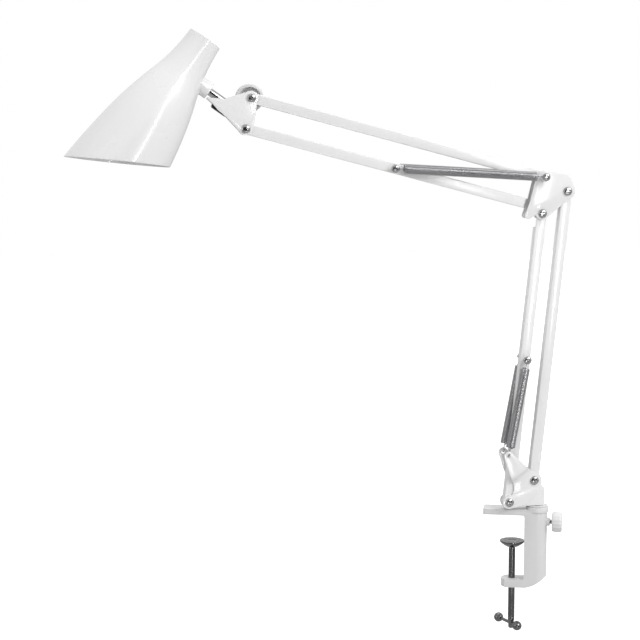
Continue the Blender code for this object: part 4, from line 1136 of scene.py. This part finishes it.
@dataclass(frozen=True)
class HeadBracket:
    """The plates that carry the stem, and the hand knob behind them."""

    knob_radius: float = 16.4
    knob_rim: float = 4.0
    knob_start: float = 10.0
    knob_end: float = 22.5
    neck: float = 38.8
    stem_reach: float = 70.0
    ribs: int = 30
    rib_depth: float = 0.012
    stem_bore: float = 4.6
    bore_end: float = 65.3

    def outline(self, at: Places) -> list[Point2]:
        """Side view of a plate, from its upper pivot."""
        low = at.step(at.head_top, at.head_bottom)
        points = arc((0.0, 0.0), 8.0, -35.0, 130.0, 20)
        points.append((-12.5, 4.3))
        frame = at.shade_frame()
        neck = self.neck
        for distance, drop in ((self.stem_reach - 13.0, -3.1), (neck + 1.2, 6.3), (neck + 0.6, 8.6),
                               (neck + 8.5, 9.4), (neck + 17.3, 11.8), (self.stem_reach, 13.2)):
            spot = frame @ Vector((distance, 0.0, -drop))
            points.append(tuple(at.step(at.head_top, spot)))
        points += arc(low, 7.5, 205.0, 320.0, 14)
        points.append((low[0] + 9.6, low[1] + 6.8))
        return softened(points, 2.0)

    def knob(self) -> Solid:
        """The cup-shaped hand knob with a finely ribbed rim."""
        r, inner = self.knob_radius, self.knob_radius - self.knob_rim
        floor = self.knob_end - self.knob_rim
        profile = [(0.0, floor - 0.3), (2.3, floor - 0.3), (2.3, 8.2), (6.0, 8.2), (6.0, floor),
                   (inner, floor), (inner, self.knob_start), (r - 1.0, self.knob_start),
                   (r, self.knob_start + 1.0), (r, self.knob_end - 2.0), (inner, self.knob_end),
                   (0.0, self.knob_end)]
        return laid(fluted(turned(profile, 0.7, 120), r - 0.6, self.rib_depth, self.ribs), "Y")

    def block(self) -> Solid:
        """The black block that carries the stem, in the shade's axes."""
        half, reach, front = PLATE_INNER - 0.3, self.stem_reach, self.neck + 9.5
        back, rise, drop = reach + 7.5, 7.0, 13.5
        outline = [(reach - 8.0, rise), (reach - 10.0, -0.3), (front, -4.5)]
        outline += arc((front + 2.5, -drop + 2.5), 2.5, 180.0, 270.0, 8)
        outline += [(reach - 2.0, -drop)]
        outline += arc((back - 5.0, -rise + 5.0), 5.0, -70.0, 0.0, 8)
        outline += arc((back - 5.0, rise - 5.0), 5.0, 0.0, 90.0, 10)
        solid = plate(softened(outline, 0.8), -half, half, 0.6)
        bore = spun([(0.0, front - 12.0), (self.stem_bore, front - 12.0),
                     (self.stem_bore, self.bore_end), (0.0, self.bore_end)], 36, "X")
        return cut(solid, bore)

    def build(self, shop: Workshop) -> None:
        """Fits every piece of the head bracket."""
        at = shop.places
        place = Matrix.Translation(at.head_top)
        outline = self.outline(at)
        shop.fit("head_side_near", plate(outline, -PLATE_OUTER, -PLATE_INNER, 0.35), ENAMEL, place,
                 "head", "head_plate_near")
        shop.fit("head_side_far", plate(outline, PLATE_INNER, PLATE_OUTER, 0.35), ENAMEL, place,
                 "head", "head_plate_far")
        end = self.knob_end - self.knob_rim - FASTENERS.nut_depth - 0.6
        shop.fit("head_bolt", FASTENERS.screw(PLATE_OUTER, FASTENERS.head, end), STEEL, place, "head",
                 "head_upper_bolt")
        FASTENERS.pivot(shop, "head_lower", at.head_bottom, "head", PLATE_OUTER, FASTENERS.head)
        shop.fit("head_hand_knob", self.knob(), KNOB, place, "knob", "head_knob")
        shop.fit("stem_carrier", self.block(), BLACK, at.shade_frame(), "stem_clamp", "stem_block")
        shop.keep(ENAMEL, "stem_pivot_pin")


# ---------------------------------------------------------------- shade

@dataclass(frozen=True)
class ShadeHead:
    """The slant-cut bell with its cap, stem, holder and bulb, in the shade's own axes."""

    above: float = 47.5
    wall: float = 0.9
    short: float = 143.7
    long: float = 201.7
    dome: float = 1.6
    lean: float = 3.6
    stem: float = 4.5
    stem_bore: float = 3.2
    boss: float = 9.85
    boss_end: float = 37.5
    holder: float = 15.6
    holder_top: float = 9.0
    holder_length: float = 44.0
    bulb: float = 27.0
    bulb_length: float = 104.0
    cap_radius: float = 12.9
    cap_length: float = 25.0
    socket: float = 13.4
    socket_depth: float = 6.0
    glass_neck: float = 12.0
    glass_wall: float = 1.0
    lip: float = 0.22
    smooth_steps: int = 8
    smooth_width: float = 0.0075
    profile: tuple[Point2, ...] = (
        (0.0, 19.8), (0.10, 21.0), (0.20, 24.4), (0.25, 26.6), (0.31, 30.8), (0.385, 35.5),
        (0.46, 39.6), (0.545, 43.7), (0.64, 47.2), (0.74, 50.2), (0.86, 53.4), (1.0, 56.3))

    def radius(self, depth: float) -> float:
        """Outer radius at a depth below the top, eased between the profile's points."""
        share = min(1.0, max(0.0, depth / self.long))
        total, weight = 0.0, 0.0
        for step in range(-self.smooth_steps, self.smooth_steps + 1):
            spot = min(1.0, max(0.0, share + step * self.smooth_width))
            for (low, r0), (high, r1) in zip(self.profile, self.profile[1:]):
                if spot <= high:
                    total += r0 + (r1 - r0) * (spot - low) / (high - low)
                    weight += 1.0
                    break
        return total / weight

    def wall_points(self, offset: float, start: float, count: int = 60) -> list[Point2]:
        """(radius, height) points of a wall beside the profile, past the long side."""
        end = self.long * 1.06
        depths = (start + (end - start) * index / count for index in range(count + 1))
        return [(self.radius(depth) + offset, self.above - depth) for depth in depths]

    def shell(self) -> Solid:
        """The spun bell, cut by a slanted plane, with a rounded lip."""
        start = self.dome + 0.3
        outer = self.wall_points(0.0, start)
        inner = self.wall_points(-self.wall, start)
        crown = self.above - start + self.lip
        lip = [(outer[0][0] - self.wall * 0.25, crown), (inner[0][0] + self.wall * 0.25, crown)]
        solid = bmesh.new()
        line = outer[::-1] + lip + inner
        verts = [solid.verts.new((radius, 0.0, height)) for radius, height in line]
        edges = [solid.edges.new(pair) for pair in zip(verts, verts[1:])]
        bmesh.ops.spin(solid, geom=verts + edges, cent=ORIGIN, axis=UP,
                       angle=math.tau, steps=128, use_merge=True)
        bmesh.ops.remove_doubles(solid, verts=solid.verts, dist=MERGE)
        short = Vector((self.radius(self.short), 0.0, self.above - self.short))
        long = Vector((-self.radius(self.long), 0.0, self.above - self.long))
        slope = short - long
        normal = Vector((slope.z, 0.0, -slope.x)).normalized()
        normal.rotate(Matrix.Rotation(math.radians(-self.lean), 3, slope))
        centre = (short + long) / 2
        geometry = [*solid.verts, *solid.edges, *solid.faces]
        bmesh.ops.bisect_plane(solid, geom=geometry, dist=MERGE, plane_co=centre, plane_no=normal,
                               clear_outer=True)
        rim = [e for e in solid.edges if e.is_boundary]
        bmesh.ops.bridge_loops(solid, edges=rim)
        bmesh.ops.recalc_face_normals(solid, faces=solid.faces)
        mouth = [e for e in solid.edges if not e.is_boundary and len(e.link_faces) == 2
                 and all(abs((v.co - centre).dot(normal)) < 1e-3 for v in e.verts)
                 and e.calc_face_angle(0.0) > math.radians(40.0)]
        bmesh.ops.bevel(solid, geom=mouth, offset=self.lip, segments=2, profile=0.5, affect="EDGES",
                        material=-1, clamp_overlap=True)
        return solid

    def cap(self) -> Solid:
        """The shallow domed cap that closes the neck."""
        rim = self.radius(self.dome)
        skirt = rim - self.wall - 0.3
        under = self.above - self.dome
        profile = [(0.0, self.above)]
        profile += [(rim * s, self.above - self.dome * s ** 2.6)
                    for s in (0.2, 0.4, 0.6, 0.75, 0.88, 0.96)]
        profile += [(rim - 0.15, under + 0.1), (rim, under - 0.1), (rim - 0.15, under - 0.28),
                    (skirt, under - 0.28), (skirt, under - 7.0), (skirt - 0.9, under - 7.0),
                    (skirt - 0.9, under - 0.9), (0.0, under - 0.9)]
        return spun(profile, 96)

    def stub(self) -> Solid:
        """The boss on the neck, saddle-cut to the shade."""
        hole, recess = self.stem + 0.3, self.boss_end - 2.0
        solid = turned([(0.0, self.holder), (self.boss, self.holder), (self.boss, self.boss_end),
                        (hole, self.boss_end), (hole, recess), (0.0, recess)], 1.1, 64, "X",
                       corner_steps=4)
        wall = self.wall_points(-0.2, self.dome)
        neck = spun([(0.0, wall[0][1]), *wall, (0.0, wall[-1][1])], 96)
        return cut(solid, neck)

    def lampholder(self) -> Solid:
        """The ribbed holder with a stepped skirt and an open socket."""
        top = self.above - self.holder_top
        bottom, r = top - self.holder_length, self.holder
        floor = bottom + self.cap_length + self.socket_depth
        profile = [(0.0, top), (r * 0.55, top), (r * 0.8, top - 0.4), (r * 0.94, top - 2.0),
                   (r, top - 4.0)]
        for index in range(5):
            at = top - 8.0 - index * 3.0
            profile += [(r, at), (r - 0.7, at - 0.5), (r - 0.7, at - 1.3), (r, at - 1.8)]
        profile += [(r, bottom + 4.0), (r - 0.8, bottom), (self.socket, bottom),
                    (self.socket, floor), (0.0, floor)]
        return turned(profile, 0.35, 64)

    def glass(self, neck: float) -> Solid:
        """The opal globe drawn into its neck."""
        end = neck + self.cap_length - 0.3 - self.bulb_length
        centre, top, start = end + self.bulb, neck - 0.3, math.radians(38.0)
        outer: list[Point2] = [(self.glass_neck, top)]
        join_radius, join_height = self.bulb * math.sin(start), centre + self.bulb * math.cos(start)
        for index in range(1, 12):
            t = index / 12
            swell = t * t * (3.0 - 2.0 * t)
            outer.append((self.glass_neck
                          + (join_radius - self.glass_neck) * (0.45 * swell + 0.55 * t ** 1.6),
                          top + (join_height - top) * t))
        outer += [(self.bulb * math.sin(a), centre + self.bulb * math.cos(a)) for a in
                  (start + (math.pi - start) * index / 26 for index in range(26))]
        outer.append((0.0, end))
        floor = end + self.glass_wall
        inner = [(max(0.0, r - self.glass_wall), max(h, floor)) for r, h in outer[:-1]]
        inner.append((0.0, floor))
        return spun(inner[::-1] + outer, 72)

    def screw_cap(self, low: float) -> Solid:
        """The bulb's rolled metal cap with its rounded thread."""
        high, r = low + self.cap_length, self.cap_radius
        profile = [(0.0, high), (4.6, high), (5.0, high - 0.4), (r - 0.6, high - 4.0)]
        for index in range(20):
            t = index / 20
            profile.append((r - 0.45 + 0.4 * math.sin(math.tau * 4 * t), high - 4.4 - 16.0 * t))
        profile += [(r, high - 21.0), (r, low), (r - 0.6, low), (r - 0.6, high - 21.0),
                    (r - 1.4, high - 21.6), (r - 1.4, high - 5.0), (4.4, high - 0.8), (0.0, high - 0.8)]
        return spun(profile, 64)

    def build(self, shop: Workshop) -> None:
        """Fits every piece that rolls with the shade."""
        place = shop.places.shade_frame()
        shop.fit("bell_shell", self.shell(), ENAMEL, place, "shade", "shade_shell")
        shop.fit("neck_cap", self.cap(), ENAMEL, place, "shade", "shade_cap")
        shop.fit("stem_boss", self.stub(), ENAMEL, place, "shade", "shade_boss")
        tube = softened([(self.stem_bore, 18.0), (self.stem, 18.0), (self.stem, 65.0),
                         (self.stem_bore, 65.0)], 0.35)
        shop.fit("stem_tube", spun(tube, 48, "X"), CHROME, place, "shade", "shade_stem")
        shop.keep(STEEL, "stem_nut")
        shop.keep(BRASS, "centre_contact")
        shop.fit("holder_body", self.lampholder(), HOLDER, place, "shade", "lampholder")
        low = self.above - self.holder_top - self.holder_length - 0.3
        shop.fit("bulb_screw_cap", self.screw_cap(low), BRASS, place, "shade", "bulb_cap")
        shop.fit("bulb_globe", self.glass(low), OPAL, place, "shade", "bulb_glass")


# ---------------------------------------------------------------- studio

@dataclass(frozen=True)
class Lamp:
    """One soft panel of the studio, in metres."""

    name: str
    place: tuple[float, float, float]
    size: tuple[float, float]
    power: float


@dataclass(frozen=True)
class Studio:
    """Camera, floor and soft light."""

    camera: tuple[float, float, float] = (-0.52412, -2.06620, 0.49892)
    pitch: float = 82.875
    yaw: float = -8.0
    lens: float = 101.25
    floor_height: float = -0.75
    floor_reach: float = 12.0
    floor_grey: float = 0.55
    floor_glow: float = 0.9
    fill: float = 0.78
    flag: float = -3.2
    flag_size: tuple[float, float, float] = (2.6, -1.0, 1.7)
    aim: tuple[float, float, float] = (-0.15, 0.0, 0.25)
    lamps: tuple[Lamp, ...] = (
        Lamp("key_panel", (1.5, -1.7, 1.7), (1.1, 1.1), 28.0),
        Lamp("strip_panel", (0.55, -1.9, 0.8), (0.14, 1.5), 9.0),
        Lamp("low_panel", (-0.1, -2.3, -0.45), (0.22, 0.5), 4.0),
        Lamp("side_panel", (-1.7, -0.9, 0.5), (0.12, 1.2), 2.5),
        Lamp("top_panel", (-0.1, 0.5, 2.3), (1.8, 1.2), 14.0),
    )

    @staticmethod
    def _seen(tree: bpy.types.NodeTree, socket: bpy.types.NodeSocket, hidden: float,
              shown: float) -> None:
        """Gives a socket one value for light and another for what the camera sees."""
        path = tree.nodes.new("ShaderNodeLightPath")
        level = tree.nodes.new("ShaderNodeMapRange")
        level.inputs["To Min"].default_value = hidden
        level.inputs["To Max"].default_value = shown
        tree.links.new(path.outputs["Is Camera Ray"], level.inputs["Value"])
        tree.links.new(level.outputs["Result"], socket)

    @staticmethod
    def _sheet(name: str, corners: Sequence[Sequence[float]], grey: float,
               rough: float) -> tuple[bpy.types.Object, bpy.types.ShaderNode]:
        """Makes a plain four-cornered sheet, and returns it with its shader."""
        mesh = bpy.data.meshes.new(name)
        mesh.from_pydata(corners, [], [(0, 1, 2, 3)])
        material = bpy.data.materials.new(name)
        material.use_nodes = True
        shader = material.node_tree.nodes["Principled BSDF"]
        shader.inputs["Base Color"].default_value = (grey, grey, grey, 1.0)
        shader.inputs["Roughness"].default_value = rough
        mesh.materials.append(material)
        sheet = bpy.data.objects.new(name, mesh)
        bpy.context.scene.collection.objects.link(sheet)
        return sheet, shader

    def _world(self) -> None:
        """White to the camera, softer as a light."""
        world = bpy.data.worlds.new("studio")
        bpy.context.scene.world = world
        world.use_nodes = True
        ground = world.node_tree.nodes["Background"]
        ground.inputs["Color"].default_value = (1.0, 1.0, 1.0, 1.0)
        self._seen(world.node_tree, ground.inputs["Strength"], self.fill, 1.0)

    def _floor(self) -> None:
        """A wide pale floor below the lamp."""
        far, height = self.floor_reach, self.floor_height
        corners = [(-far, -far, height), (far, -far, height), (far, far, height), (-far, far, height)]
        floor, shader = self._sheet("studio_floor", corners, self.floor_grey, 1.0)
        shader.inputs["Emission Color"].default_value = (1.0, 1.0, 1.0, 1.0)
        tree = floor.data.materials[0].node_tree
        self._seen(tree, shader.inputs["Emission Strength"], 0.0, self.floor_glow)

    def _flag(self) -> None:
        """A wide dark screen behind the camera, for the metal to reflect."""
        wide, low, high = self.flag_size
        corners = [(-wide, self.flag, low), (wide, self.flag, low),
                   (wide, self.flag, high), (-wide, self.flag, high)]
        screen, _ = self._sheet("studio_flag", corners, 0.02, 0.9)
        screen.visible_camera = False

    def _light(self, lamp: Lamp) -> None:
        """Hangs one panel and turns it to the lamp."""
        light = bpy.data.lights.new(lamp.name, "AREA")
        light.shape = "RECTANGLE"
        light.size, light.size_y = lamp.size
        light.energy = lamp.power
        panel = bpy.data.objects.new(lamp.name, light)
        panel.location = lamp.place
        aim = Vector(self.aim) - Vector(lamp.place)
        panel.rotation_euler = aim.to_track_quat("-Z", "Y").to_euler()
        bpy.context.scene.collection.objects.link(panel)

    def build(self) -> None:
        """Sets up the floor, lights, camera and tone."""
        self._world()
        self._floor()
        self._flag()
        for lamp in self.lamps:
            self._light(lamp)
        data = bpy.data.cameras.new("studio_camera")
        data.lens = self.lens
        data.sensor_width = 36.0
        camera = bpy.data.objects.new("studio_camera", data)
        camera.location = self.camera
        camera.rotation_euler = (math.radians(self.pitch), 0.0, math.radians(self.yaw))
        bpy.context.scene.collection.objects.link(camera)
        scene = bpy.context.scene
        scene.camera = camera
        scene.view_settings.view_transform = "Standard"


def main() -> None:
    """Builds the lamp's looks in order."""
    logging.basicConfig(level=logging.INFO, format="%(name)s: %(message)s")
    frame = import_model()
    shop = Workshop(frame)
    for assembly in (ClampAssembly(), BaseBracket(), Arms(), Elbow(), HeadBracket(), ShadeHead()):
        assembly.build(shop)
    Studio().build()
    LOG.info("%d pieces built", shop.count)


if __name__ == "__main__":
    main()
